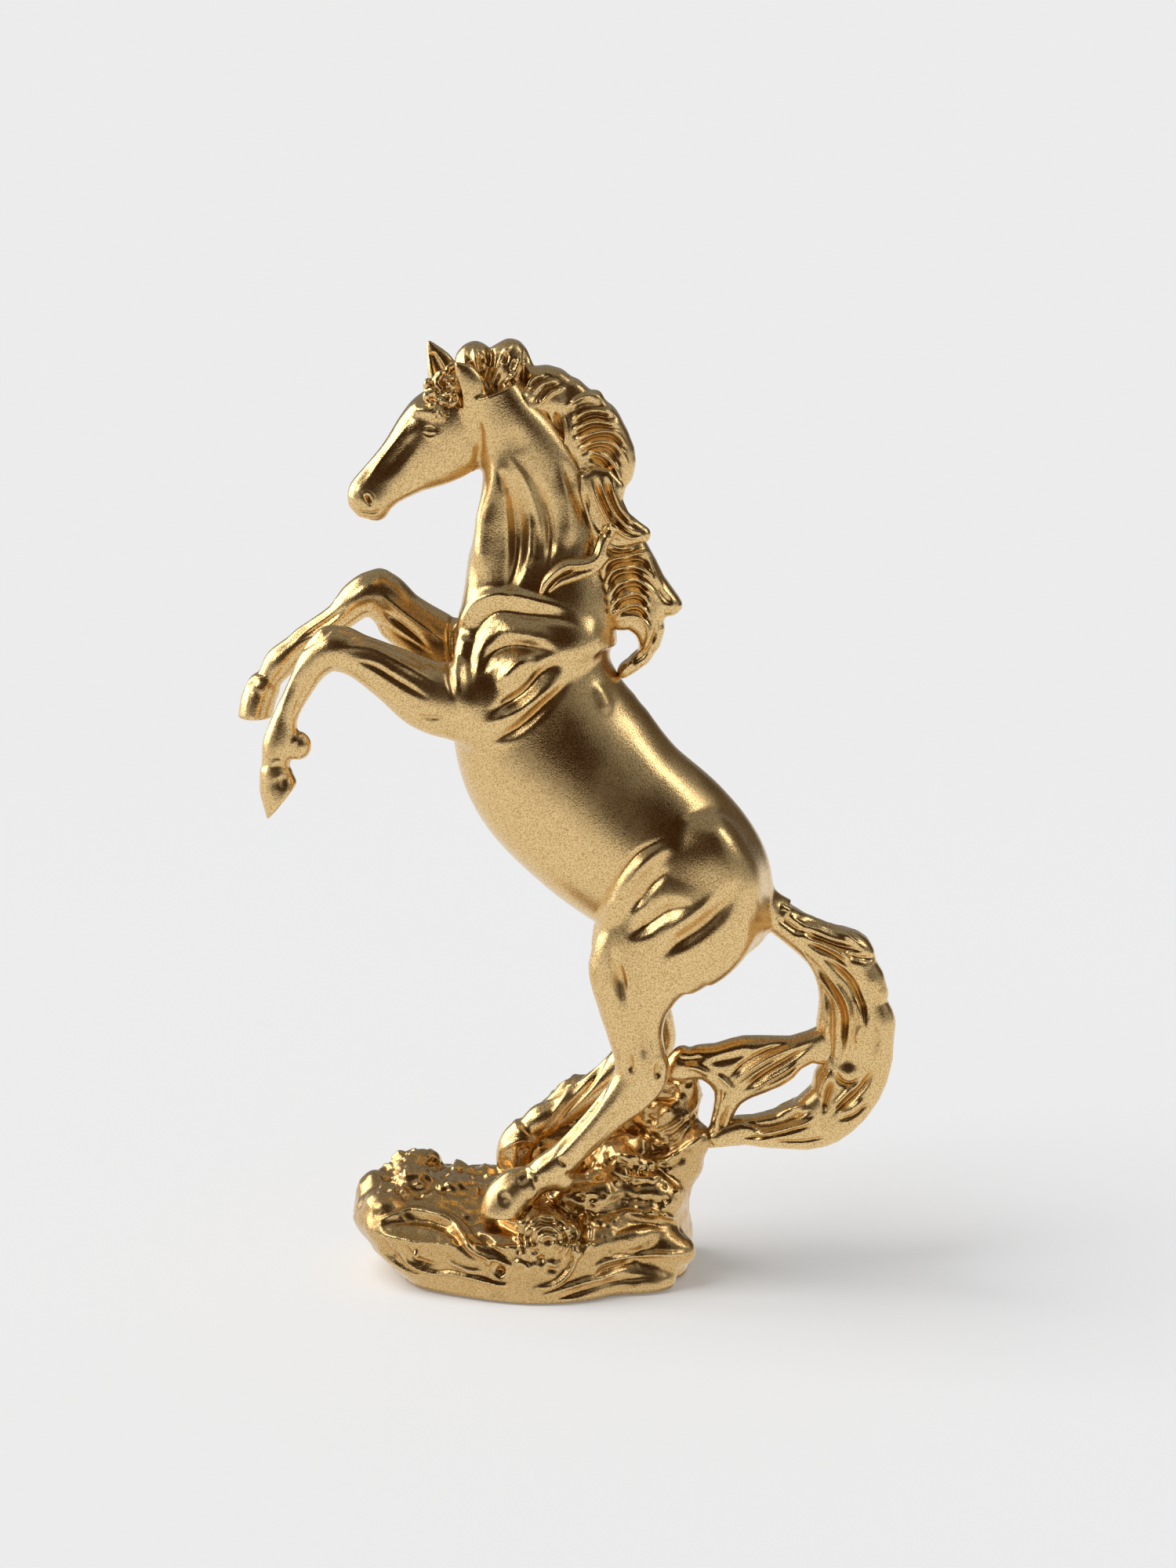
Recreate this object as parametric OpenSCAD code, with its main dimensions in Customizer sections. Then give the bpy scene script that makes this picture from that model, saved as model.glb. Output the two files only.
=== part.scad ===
// Rearing horse statuette on a rock base, cast in sections and pinned together.
// Frame: origin on the ground under the middle of the base, +Z up, the horse faces -X,
// its left side is -Y. All castings are drawn for a 300 mm statuette and scaled by k.

/* [Statuette] */
// Height from the ground to the ear tips
statue_h = 300; // [285:1:315]
// Sides of each lofted body
sides = 16; // [12:2:18]
// Rings between two stations of a loft
steps = 3; // [2:1:3]

/* [Fixings] */
// Diameter of the dowel between the neck and the torso
neck_dowel_d = 8; // [6:0.5:9]
// Diameter of the dowels in the forelegs, thighs, tail and head
limb_dowel_d = 5; // [4:0.5:6]
// Diameter of the threaded studs that hold the hooves to the rock
stud_d = 3; // [2.5:0.5:3.5]
// Glue gap around each dowel and stud, on the radius
glue_gap = 0.1; // [0.05:0.05:0.2]

/* [Felt pad] */
// Thickness of the felt
felt_t = 2; // [1.5:0.5:3]
// How far the felt stands out below the rock
felt_proud = 0.5; // [0.3:0.1:0.8]
// Length of the felt pad
felt_l = 74; // [60:1:78]
// Width of the felt pad
felt_w = 46; // [42:1:48]

/* [Hidden] */
k = statue_h / 300;
gold = "goldenrod";
big = 1000;

// ---- Section planes between the castings: a point on each and the tilt of its normal ----
head_cut = [-5.5, 0, 273];
head_cut_tilt = -56;
neck_cut = [4, 0, 211];
neck_cut_tilt = 8;
foreleg_cut_x = -22;
thigh_cut_z = 100;
tail_cut = [79, 0, 119];
tail_cut_tilt = 102;

// ---- Stations of each loft: [x, y, z, half depth in the side view, half width] ----
torso_line = [
    [4, 0, 233, 18, 11], [4.5, 0, 221, 21, 14], [4.2, 0, 209, 22.5, 17.5], [4, 0, 196, 24.5, 20.5],
    [7, 0, 180.5, 29.2, 22.5], [13.5, 0, 166.5, 31, 23.8], [26.5, 0, 151.5, 30, 24], [42.5, 0, 138.5, 29, 22.5],
    [56, 0, 125.5, 25.5, 18.5], [65.5, 0, 114, 16.5, 13.5], [69.5, 0, 108, 8, 8]
];
shoulder_line = [
    [10, 11, 214, 5, 4], [6, 14, 206, 12, 7], [-2, 15.5, 196, 15, 8], [-9, 15, 188, 13, 8], [-15, 14, 182, 6, 6]
];
haunch_line = [
    [54, 10, 151, 6.5, 8], [57, 12.6, 144.5, 10.5, 11], [57.5, 14.2, 132, 16.5, 11.6], [52, 15, 121.5, 21, 11.3],
    [43.5, 14.8, 114, 20, 10.7], [37.6, 14.8, 104.5, 15.6, 8.4], [36, 15.2, 94, 9, 6.4]
];
neck_line = [
    [-8, -6, 285, 8, 7.6], [-4.5, -4.6, 276, 10.7, 8.8], [0.7, -3, 266, 13.4, 9.4], [4, -1.4, 255, 16.3, 9.8],
    [5.4, 0, 242, 19.4, 10.4], [5, 0, 230, 21.3, 12.4], [5.5, 0, 219, 23, 15.5], [5, 0, 207, 24, 18]
];
head_line = [
    [-6, 1, 283, 7, 5.5], [-11, 0.5, 280, 10.2, 7.5], [-16.6, -0.5, 275.8, 12.8, 8.6], [-23.1, -2, 270.8, 14.2, 8.8],
    [-29.3, -3.8, 266, 12.6, 7.7], [-36, -5.6, 261, 9.4, 6], [-42, -7.2, 256.3, 7.6, 5.4],
    [-46.8, -8.3, 251.6, 6.9, 5.6], [-50.6, -9.3, 248, 2.8, 3]
];
near_ear = [
    [-14.5, -7.6, 273.5, 2.6, 1.8], [-15, -9, 281.6, 4.6, 3.1], [-15.6, -9.4, 286.6, 4.7, 2.9],
    [-19.4, -9.5, 293, 0.6, 0.6]
];
far_ear = [[-21, 5, 280, 5, 2.8], [-23, 6, 286, 5.2, 2.6], [-25.3, 6.7, 292, 3.8, 2], [-28.3, 7.1, 298.6, 0.6, 0.6]];
forelock_line = [
    [-16, 0, 291.4, 3, 3.6], [-21, -3, 287.6, 3.6, 3.6], [-26.6, -4.6, 285.4, 2.9, 3], [-29.6, -4.8, 285.6, 1.2, 1.4]
];
temple_curl = [[-20, -5, 289, 3, 3], [-23, -9.4, 282.4, 3, 2.8], [-23.4, -11.2, 276, 1.4, 1.5]];
crest_line = [
    [-19, 0, 292.2, 3.4, 3.4], [-14, 0, 292, 5.6, 5.6], [-5, 0, 291.4, 7, 7.2], [3.3, 0, 285.4, 7.2, 8.2],
    [11, 0, 279, 10, 9.5], [19, 0, 271, 12, 10.5], [23, 0, 262, 11.5, 10.5], [24, 0, 252, 8.5, 9], [22, 0, 244, 4, 6]
];
side_lock_line = [
    [15, -9, 262, 3, 3], [20, -12, 252, 5, 4], [25, -12.5, 244.5, 5.5, 4], [32, -10, 240.5, 3.6, 3.4],
    [38.5, -8, 239.5, 1, 1.2]
];
lower_mane_line = [
    [22.4, 0, 248.4, 6, 7.2], [27.3, 0, 239.3, 8, 8.2], [31.2, 0, 230, 9, 9.1], [34.5, 0, 221, 9.5, 8.5],
    [37.5, 0, 212, 6.5, 6], [39.5, 0, 205, 3.2, 4], [35.5, 0, 199, 2.8, 3.5], [30, 0, 195, 3, 3.5], [27, 0, 190, 3, 3]
];
mane_tip_line = [[37, 0, 226, 6, 5], [43, 0, 221, 4, 4], [49.3, 0, 217.5, 1, 1.2]];
loop_side_line = [[29, 0, 215, 4, 5], [28, 0, 207, 3.2, 4.5], [28, 0, 199, 3, 4], [29, 0, 193, 3, 3]];
left_foreleg_line = [
    [-8, -13, 189, 12.5, 8.5], [-19, -14, 189.7, 12, 9.5], [-28.6, -14, 191.9, 11.1, 9], [-38.8, -14, 198, 8.8, 8],
    [-49.6, -14, 203.9, 6.8, 7], [-58, -14, 206.6, 7.6, 7.4], [-63.6, -14, 201.6, 5.4, 6], [-68, -14, 193.8, 4, 4.5],
    [-72.2, -14, 185.5, 3.8, 4.2], [-73, -14, 176.8, 6, 5.2], [-76, -14, 169.8, 4, 4.5], [-75, -14, 163.5, 6.1, 5.8],
    [-75.8, -14, 157, 5.6, 5.8], [-77.4, -14, 152.6, 2, 2.4]
];
right_foreleg_line = [
    [-8, 13, 192, 12.5, 8.5], [-20, 14, 197, 12.3, 9.3], [-30, 14, 205, 9.8, 8.4], [-38, 14, 212, 8, 7.6],
    [-44.7, 14, 218.6, 7.8, 7.5], [-51, 14, 217, 6.3, 6.6], [-57, 14, 211.7, 4.7, 5.3], [-64, 14, 207.2, 4, 4.5],
    [-71, 14, 202, 4, 4.3], [-76, 14, 197, 5, 5], [-79.5, 14, 192, 4.1, 4.5], [-82.6, 14, 186.5, 5.5, 5.7],
    [-84.3, 14, 179, 6.2, 6.3]
];
left_hind_line = [
    [41, -14.8, 111, 16, 8.6], [37, -14.8, 104.5, 17, 9.6], [34.8, -15.2, 94.5, 12, 8.4], [35, -15.6, 86, 9, 7.6],
    [36.3, -16, 79, 8.1, 7.1], [37.2, -16, 72.5, 8.6, 6.8], [33.5, -16, 66, 7.4, 6.3], [27, -16, 59, 5.9, 5.5],
    [20, -16, 51.5, 5.2, 4.9], [13.5, -16, 45, 5, 4.8], [8, -16, 39.8, 5.9, 5.3], [3.2, -16, 36.6, 4.8, 4.8],
    [-1, -16, 34.2, 6.9, 6.4], [-4, -16, 31, 7.8, 7.2], [-6, -16, 26, 7.6, 7.6]
];
right_hind_line = [
    [41, 14.8, 111, 16, 8.6], [37.5, 14.8, 104.5, 17, 9.7], [36.5, 15.2, 94.5, 11.4, 8.4], [38, 15.6, 86, 8.6, 7.6],
    [40, 16, 79, 8, 7.1], [40, 16, 73, 8.2, 6.8], [35, 16, 67.5, 7, 6.3], [28, 16, 61.5, 5.7, 5.4],
    [20, 16, 55.5, 5.2, 4.9], [12, 16, 50, 5, 4.8], [6, 16, 46.5, 5.8, 5.3], [2, 16, 43.5, 4.9, 4.9],
    [-1.6, 15.5, 40, 6, 5.8], [-3, 15.5, 36, 6.2, 6], [-3, 15.5, 31, 6, 6]
];
plume_line = [
    [74, 0, 121, 5, 5.5], [80, 0, 119, 5.3, 6], [88, 0, 113.5, 6.5, 7], [96, 0, 107, 9.5, 8], [102, 0, 97, 11, 8.5],
    [104.8, 0, 84, 11.8, 8.5], [105.5, 0, 71, 10.6, 8], [100, 0, 58, 10, 7.5], [89, 0, 50, 7, 7], [77, 0, 48.7, 5, 6],
    [66, 0, 48.5, 4.6, 5.5], [58, 0, 47.5, 2.5, 3]
];
strand_line = [
    [100, 0, 79, 6, 5.5], [91, 0, 77, 5.2, 5.5], [83, 0, 73, 7, 6], [74, 0, 69.5, 9, 6], [66, 0, 68.5, 9, 5.5],
    [58, 1, 69, 6.5, 5], [52.5, 2, 72, 3.5, 3.5], [49.5, 3, 76, 1, 1.2]
];
cross_line = [[68, -2, 67, 3, 3], [64.5, -3, 60, 2.7, 2.7], [62.5, -3.5, 54, 2.6, 2.6], [61, -3, 47, 2.4, 2.4]];

// ---- The rock: a rough oval mound, then groups of boulders [x, y, z, radius] ----
foot_half_l = 50;
foot_half_w = 30;
left_boulders = [[-38, 12, 26, 9], [-44, 2, 21, 9], [-38, -9, 18, 9], [-22, 16, 25, 8]];
right_boulders = [[40, -2, 30, 9], [47, 9, 32, 9], [30, 8, 31, 9], [50, 2, 37, 6], [56, 0, 39, 4]];
rear_boulders = [[0, 20, 29, 9], [8, 21, 38, 9], [16, 21, 50, 8.5], [22, 20, 44, 9], [30, 19, 32, 9]];
front_boulders = [[-4, -17, 18, 9], [8, -20, 19, 8], [22, -17, 20, 8]];
foot_centre = [3, 1];
rock_slices = 36;

// ---- Hardware: where each peg starts and ends, and the nut pockets under the rock ----
head_peg = [[1.5, -2, 268.5], [-13, -1, 278]];
neck_peg = [[3, 0, 196], [3, 0, 228]];
left_foreleg_peg = [[-8, -14, 191.5], [-32, -14, 192]];
right_foreleg_peg = [[-9, 14, 191], [-31, 14, 204]];
left_thigh_peg = [[37, -16, 112], [35.5, -16, 88]];
right_thigh_peg = [[40.5, 15, 114], [39, 15, 90]];
tail_peg = [[69, 0, 123], [87, 0, 114.5]];
tail_pin_peg = [[48, 1, 37], [61, 0, 47.5]];
left_hoof_seat = [-4, -16, 26];
right_hoof_seat = [-2.5, 15.5, 31];
stud_depth = 8;
pocket_roof_z = 8;
pocket_d = 8.5;
washer_d = 7;
washer_t = 0.8;
nut_flats = 5.5;
nut_t = 2.4;
thread_past_nut = 1;
tail_pin_d = 3;
felt_centre = [9, 0];
rock_foot_z = felt_proud;

// ---- Lofting ----
function at(list, i) = list[max(0, min(len(list) - 1, i))];
function blend(a, b, c, d, t) =
    0.5 * (2 * b + (c - a) * t + (2 * a - 5 * b + 4 * c - d) * t * t + (3 * b - a - 3 * c + d) * t * t * t);
function smooth(line) = [
    for (i = [0 : len(line) - 2]) for (s = [0 : steps - 1])
        blend(at(line, i - 1), line[i], line[i + 1], at(line, i + 2), s / steps),
    line[len(line) - 1]
];
function spot(station) = [station[0], station[1], station[2]];
function unit(v) = v / norm(v);
function heading(line, i) = unit(spot(at(line, i + 1)) - spot(at(line, i - 1)));
function ring(station, way) =
    let (up = unit(cross([0, 1, 0], way)), out = cross(way, up))
    [for (j = [0 : sides - 1])
        spot(station) + station[3] * cos(360 * j / sides) * up + station[4] * sin(360 * j / sides) * out];

// A closed body through the elliptical stations of line
module loft(line) {
    run = smooth(line);
    n = len(run);
    points = [for (i = [0 : n - 1]) each ring(run[i], heading(run, i))];
    skin = [
        for (i = [0 : n - 2]) for (j = [0 : sides - 1])
            let (a = i * sides + j, b = i * sides + (j + 1) % sides)
            each [[a, a + sides, b], [b, a + sides, b + sides]]
    ];
    first_cap = [for (j = [0 : sides - 1]) j];
    last_cap = [for (j = [sides - 1 : -1 : 0]) (n - 1) * sides + j];
    polyhedron(points, concat(skin, [first_cap, last_cap]));
}

// A loft drawn for the right side, put on side 1 (right) or -1 (left)
module on_side(side) mirror([0, side < 0 ? 1 : 0, 0]) children();

// Keeps the part of its children on the side of a section plane that the tilted +Z points to
module beyond(point, tilt) {
    intersection() {
        children();
        translate(point) rotate([0, tilt, 0]) translate([-big / 2, -big / 2, 0]) cube(big);
    }
}

// One mesh for a whole casting, scaled to the statuette's height
module casting() color(gold) resize([0, 0, 0]) scale(k) children();

module peg(from, to, d) {
    way = to - from;
    translate(from) rotate([0, acos(way[2] / norm(way)), atan2(way[1], way[0])]) cylinder(h = norm(way), d = d, $fn = 48);
}

// ---- Casting shapes before their dowel holes ----
module skull() {
    loft(head_line);
    loft(near_ear);
    loft(far_ear);
}

module head_shape() {
    beyond(head_cut, head_cut_tilt) {
        skull();
        loft(neck_line);
    }
}

module neck_shape() {
    beyond(neck_cut, neck_cut_tilt) beyond(head_cut, head_cut_tilt + 180) loft(neck_line);
}

// The stub of the tail on the rump's side of the joint
module tail_root() beyond([0, 0, thigh_cut_z], 0) beyond(tail_cut, tail_cut_tilt + 180) loft(plume_line);

module trunk() {
    loft(torso_line);
    loft(neck_line);
    for (side = [-1, 1]) on_side(side) {
        loft(shoulder_line);
        beyond([0, 0, thigh_cut_z], 0) loft(haunch_line);
    }
}

module torso_shape() {
    beyond(neck_cut, neck_cut_tilt + 180) trunk();
    beyond([foreleg_cut_x, 0, 0], 90) {
        loft(left_foreleg_line);
        loft(right_foreleg_line);
    }
    beyond([0, 0, thigh_cut_z], 0) {
        loft(left_hind_line);
        loft(right_hind_line);
    }
    tail_root();
}

module crest_shape() {
    difference() {
        loft(crest_line);
        loft(neck_line);
        skull();
    }
}

module forelock_shape() {
    loft(forelock_line);
    loft(temple_curl);
}

module side_lock_shape() {
    difference() {
        loft(side_lock_line);
        loft(neck_line);
        loft(crest_line);
    }
}

module lower_mane_shape() {
    loft(lower_mane_line);
    loft(mane_tip_line);
    loft(loop_side_line);
}

module foreleg_shape(line) {
    difference() {
        beyond([foreleg_cut_x, 0, 0], -90) loft(line);
        torso_shape();
    }
}

module hind_leg_shape(line, seat) {
    difference() {
        beyond([0, 0, thigh_cut_z], 180) beyond(seat, 0) {
            loft(line);
            on_side(sign(seat[1])) loft(haunch_line);
        }
        torso_shape();
    }
}

module plume_shape() {
    difference() {
        loft(plume_line);
        tail_root();
    }
}

module strand_shape() {
    difference() {
        union() {
            loft(strand_line);
            loft(cross_line);
        }
        plume_shape();
    }
}

// Half size of the mound at angle a, a rounded box with shallow bays, and its rough top
function mound_reach(a) =
    (1 + 0.03 * sin(5 * a + 40) + 0.02 * sin(11 * a)) / pow(pow(abs(cos(a)), 2.6) + pow(abs(sin(a)), 2.6), 1 / 2.6);
function mound_top(x, y) = 24 + 0.17 * y + 1.6 * sin(11 * x + 5 * y) + 1.2 * sin(17 * y - 6 * x);
function mound_spot(a, share, z, shift = 0) =
    [foot_centre[0] + shift + foot_half_l * share * mound_reach(a) * cos(a),
     foot_centre[1] + foot_half_w * share * mound_reach(a) * sin(a), z];
function mound_cap(a, share) = let (p = mound_spot(a, share, 0, -2)) [p[0], p[1], mound_top(p[0], p[1])];

module mound() {
    // Each wall ring: its share of the foot's size, its height, and how far it is moved along X
    walls = [[0.87, rock_foot_z, 6], [0.93, 5, 4], [1, 12, 1], [1.03, 19, -2]];
    caps = [0.96, 0.75, 0.5, 0.25];
    turns = [for (i = [0 : rock_slices - 1]) 360 * i / rock_slices];
    rings = concat(
        [for (w = walls) [for (a = turns) mound_spot(a, w[0], w[1], w[2])]],
        [for (c = caps) [for (a = turns) mound_cap(a, c)]]
    );
    n = rock_slices;
    peak = len(rings) * n;
    points = concat([for (r = rings) each r], [mound_cap(0, 0)]);
    skin = [
        for (i = [0 : len(rings) - 2]) for (j = [0 : n - 1])
            let (a = i * n + j, b = i * n + (j + 1) % n)
            each [[a, a + n, b], [b, a + n, b + n]]
    ];
    lid = [for (j = [0 : n - 1]) [peak - n + j, peak, peak - n + (j + 1) % n]];
    polyhedron(points, concat(skin, lid, [[for (j = [0 : n - 1]) j]]));
}

// A group of boulders grown into one crag
module crag(stones) {
    hull() {
        for (s = stones) translate([s[0], s[1], s[2]]) sphere(s[3], $fn = 14);
    }
}

module rock_shape() {
    mound();
    crag(left_boulders);
    crag(right_boulders);
    crag(rear_boulders);
    crag(front_boulders);
}

// Round hole for a peg, wider by the glue gap
module socket(ends, d) peg(k * ends[0], k * ends[1], d + 2 * glue_gap);

// Threaded stud position: up through the rock into the hoof
function stud_ends(seat) = [
    k * [seat[0], seat[1], 0] + [0, 0, k * pocket_roof_z - washer_t - nut_t - thread_past_nut],
    k * (seat + [0, 0, stud_depth])
];

module felt_outline() {
    translate([felt_centre[0], felt_centre[1], 0]) resize([felt_l, felt_w, 0]) circle(10, $fn = 64);
}

// ---- Nodes ----
module rock_base() {
    difference() {
        casting() difference() {
            rock_shape();
            hind_leg_shape(left_hind_line, left_hoof_seat);
            hind_leg_shape(right_hind_line, right_hoof_seat);
        }
        translate([0, 0, -1]) linear_extrude(1 + felt_t) felt_outline();
        for (seat = [left_hoof_seat, right_hoof_seat]) {
            translate([k * seat[0], k * seat[1], 0]) cylinder(h = k * pocket_roof_z, d = pocket_d, $fn = 48);
            translate([k * seat[0], k * seat[1], 0])
                cylinder(h = k * (seat[2] + 1), d = stud_d + 2 * glue_gap, $fn = 48);
        }
        socket(tail_pin_peg, tail_pin_d);
    }
}

module torso() {
    difference() {
        casting() torso_shape();
        socket(neck_peg, neck_dowel_d);
        socket(left_foreleg_peg, limb_dowel_d);
        socket(right_foreleg_peg, limb_dowel_d);
        socket(left_thigh_peg, limb_dowel_d);
        socket(right_thigh_peg, limb_dowel_d);
        socket(tail_peg, limb_dowel_d);
    }
}

module neck() {
    difference() {
        casting() neck_shape();
        socket(neck_peg, neck_dowel_d);
        socket(head_peg, limb_dowel_d);
    }
}

module head() {
    difference() {
        casting() head_shape();
        socket(head_peg, limb_dowel_d);
    }
}

module forelock() {
    casting() difference() {
        forelock_shape();
        skull();
        loft(neck_line);
        loft(crest_line);
    }
}

module mane_crest() casting() crest_shape();

module mane_side_lock() casting() side_lock_shape();

module mane_lower_lock() {
    casting() difference() {
        lower_mane_shape();
        trunk();
        loft(crest_line);
        loft(side_lock_line);
    }
}

module left_foreleg() {
    difference() {
        casting() foreleg_shape(left_foreleg_line);
        socket(left_foreleg_peg, limb_dowel_d);
    }
}

module right_foreleg() {
    difference() {
        casting() foreleg_shape(right_foreleg_line);
        socket(right_foreleg_peg, limb_dowel_d);
    }
}

module left_hind_leg() {
    difference() {
        casting() hind_leg_shape(left_hind_line, left_hoof_seat);
        socket(left_thigh_peg, limb_dowel_d);
        peg(stud_ends(left_hoof_seat)[0], stud_ends(left_hoof_seat)[1], stud_d + 2 * glue_gap);
    }
}

module right_hind_leg() {
    difference() {
        casting() hind_leg_shape(right_hind_line, right_hoof_seat);
        socket(right_thigh_peg, limb_dowel_d);
        peg(stud_ends(right_hoof_seat)[0], stud_ends(right_hoof_seat)[1], stud_d + 2 * glue_gap);
    }
}

module tail_plume() {
    difference() {
        casting() difference() {
            plume_shape();
            rock_shape();
        }
        socket(tail_peg, limb_dowel_d);
        socket(tail_pin_peg, tail_pin_d);
    }
}

module tail_strand() {
    casting() difference() {
        strand_shape();
        rock_shape();
        hind_leg_shape(right_hind_line, right_hoof_seat);
    }
}

module dowel(ends, d) color("silver") peg(k * ends[0], k * ends[1], d);

module head_dowel() dowel(head_peg, limb_dowel_d);

module neck_dowel() dowel(neck_peg, neck_dowel_d);

module left_foreleg_dowel() dowel(left_foreleg_peg, limb_dowel_d);

module right_foreleg_dowel() dowel(right_foreleg_peg, limb_dowel_d);

module left_thigh_dowel() dowel(left_thigh_peg, limb_dowel_d);

module right_thigh_dowel() dowel(right_thigh_peg, limb_dowel_d);

module tail_dowel() dowel(tail_peg, limb_dowel_d);

module tail_pin() dowel(tail_pin_peg, tail_pin_d);

module hoof_stud(seat) color("silver") peg(stud_ends(seat)[0], stud_ends(seat)[1], stud_d);

module left_hoof_stud() hoof_stud(left_hoof_seat);

module right_hoof_stud() hoof_stud(right_hoof_seat);

// One flat ring per stud, against the roof of its pocket
module stud_washers() {
    for (seat = [left_hoof_seat, right_hoof_seat]) {
        color("silver") translate([k * seat[0], k * seat[1], k * pocket_roof_z - washer_t]) difference() {
            cylinder(h = washer_t, d = washer_d, $fn = 48);
            translate([0, 0, -1]) cylinder(h = washer_t + 2, d = stud_d + 2 * glue_gap, $fn = 48);
        }
    }
}

// One hexagon nut per stud, under its washer
module stud_nuts() {
    for (seat = [left_hoof_seat, right_hoof_seat]) {
        color("silver") translate([k * seat[0], k * seat[1], k * pocket_roof_z - washer_t - nut_t]) difference() {
            cylinder(h = nut_t, d = nut_flats / cos(30), $fn = 6);
            translate([0, 0, -1]) cylinder(h = nut_t + 2, d = stud_d, $fn = 48);
        }
    }
}

module felt_pad() color("black") linear_extrude(felt_t) felt_outline();

rock_base();
torso();
neck();
head();
forelock();
mane_crest();
mane_side_lock();
mane_lower_lock();
left_foreleg();
right_foreleg();
left_hind_leg();
right_hind_leg();
tail_plume();
tail_strand();
head_dowel();
neck_dowel();
left_foreleg_dowel();
right_foreleg_dowel();
left_thigh_dowel();
right_thigh_dowel();
tail_dowel();
tail_pin();
left_hoof_stud();
right_hoof_stud();
stud_washers();
stud_nuts();
felt_pad();
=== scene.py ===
"""Rearing horse statuette: sculpted meshes and gold-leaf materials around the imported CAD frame.

Shapes are drawn in millimetres in the row frame of the 300 mm statuette, and MM turns them into
metres, so they follow the CAD's own height. Each casting is clay: closed meshes joined as a signed
distance field, meshed once, then tooled with strokes that push the surface in or out.
"""
import math

import bpy
import numpy as np
import openvdb as vdb
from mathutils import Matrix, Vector
from mathutils.geometry import tessellate_polygon


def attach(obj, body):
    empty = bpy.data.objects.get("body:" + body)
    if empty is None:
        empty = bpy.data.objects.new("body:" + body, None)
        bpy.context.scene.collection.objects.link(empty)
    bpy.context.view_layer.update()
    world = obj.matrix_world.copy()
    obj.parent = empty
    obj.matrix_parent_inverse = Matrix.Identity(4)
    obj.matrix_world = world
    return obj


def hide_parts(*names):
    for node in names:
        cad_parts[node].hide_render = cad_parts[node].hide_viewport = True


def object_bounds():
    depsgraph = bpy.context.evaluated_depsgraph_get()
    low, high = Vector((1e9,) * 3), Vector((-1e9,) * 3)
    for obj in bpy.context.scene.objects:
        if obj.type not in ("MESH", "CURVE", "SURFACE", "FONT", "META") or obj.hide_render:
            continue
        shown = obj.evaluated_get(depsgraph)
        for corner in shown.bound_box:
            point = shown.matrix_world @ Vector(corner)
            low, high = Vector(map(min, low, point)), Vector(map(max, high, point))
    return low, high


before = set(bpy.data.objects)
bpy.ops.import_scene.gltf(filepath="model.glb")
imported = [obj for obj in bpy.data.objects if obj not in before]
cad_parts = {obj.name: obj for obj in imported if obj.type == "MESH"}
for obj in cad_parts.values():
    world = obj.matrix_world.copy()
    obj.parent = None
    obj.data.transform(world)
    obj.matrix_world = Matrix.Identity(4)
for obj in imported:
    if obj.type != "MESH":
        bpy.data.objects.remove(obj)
CAD_BOX = [list(map(float, corner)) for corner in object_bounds()]
DRAWN_HEIGHT = 298.85
MM = CAD_BOX[1][2] / DRAWN_HEIGHT
ROOT = "root"
NEAR, FAR = -1, 1
BOTH = (NEAR, FAR)

# The least half depth and half width of a loft.
THINNEST = 0.15


# ---- Curves and closed meshes --------------------------------------------------------------------

def smooth_line(stations, step):
    """Catmull-Rom points through the stations, about step mm apart."""
    s = np.array(stations, float)
    padded = np.vstack([2 * s[0] - s[1], s, 2 * s[-1] - s[-2]])
    out = []
    for i in range(len(s) - 1):
        a, b, c, d = padded[i : i + 4]
        count = max(2, int(np.linalg.norm((c - b)[:3]) / step))
        for t in np.arange(count) / count:
            bend, twist = (2 * a - 5 * b + 4 * c - d) * t**2, (3 * b - a - 3 * c + d) * t**3
            out.append(0.5 * (2 * b + (c - a) * t + bend + twist))
    out.append(s[-1])
    return np.array(out)


def grid_faces(rings, sides):
    """Triangles of a closed tube of rings, with a fan at each end."""
    i, j = np.meshgrid(np.arange(rings - 1), np.arange(sides), indexing="ij")
    a, b = i * sides + j, i * sides + (j + 1) % sides
    skin = np.stack([a, a + sides, b, b, a + sides, b + sides], -1).reshape(-1, 3)
    k = np.arange(sides)
    first, last = rings * sides, rings * sides + 1
    cap_a = np.stack([np.full(sides, first), k, (k + 1) % sides], -1)
    end = (rings - 1) * sides
    cap_b = np.stack([np.full(sides, last), end + (k + 1) % sides, end + k], -1)
    return np.vstack([skin, cap_a, cap_b])


def loft(stations, step=1.0, sides=48, square=1.0):
    """A closed body through elliptical stations [x, y, z, half depth in the side view, half width].

    square below 1 fills the section out towards a rounded box. A sixth number widens the half of the
    section that lies along its depth, and narrows the other half."""
    run = smooth_line(stations, step)
    run[:, 3:5] = np.maximum(run[:, 3:5], THINNEST)
    p = run[:, :3]
    way = np.gradient(p, axis=0)
    way /= np.linalg.norm(way, axis=1)[:, None]
    up = np.cross([0.0, 1.0, 0.0], way)
    up /= np.linalg.norm(up, axis=1)[:, None]
    out = np.cross(way, up)
    turn = np.linspace(0, 2 * np.pi, sides, endpoint=False)[None, :]
    c, s = (np.sign(w) * np.abs(w) ** square for w in (np.cos(turn), np.sin(turn)))
    if run.shape[1] > 5:
        s = s * (1 + run[:, 5:6] * c)
    deep, wide = (run[:, 3:4] * c)[..., None], (run[:, 4:5] * s)[..., None]
    rings = p[:, None] + deep * up[:, None] + wide * out[:, None]
    verts = np.vstack([rings.reshape(-1, 3), p[0], p[-1]])
    return verts, grid_faces(len(p), sides)


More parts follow.
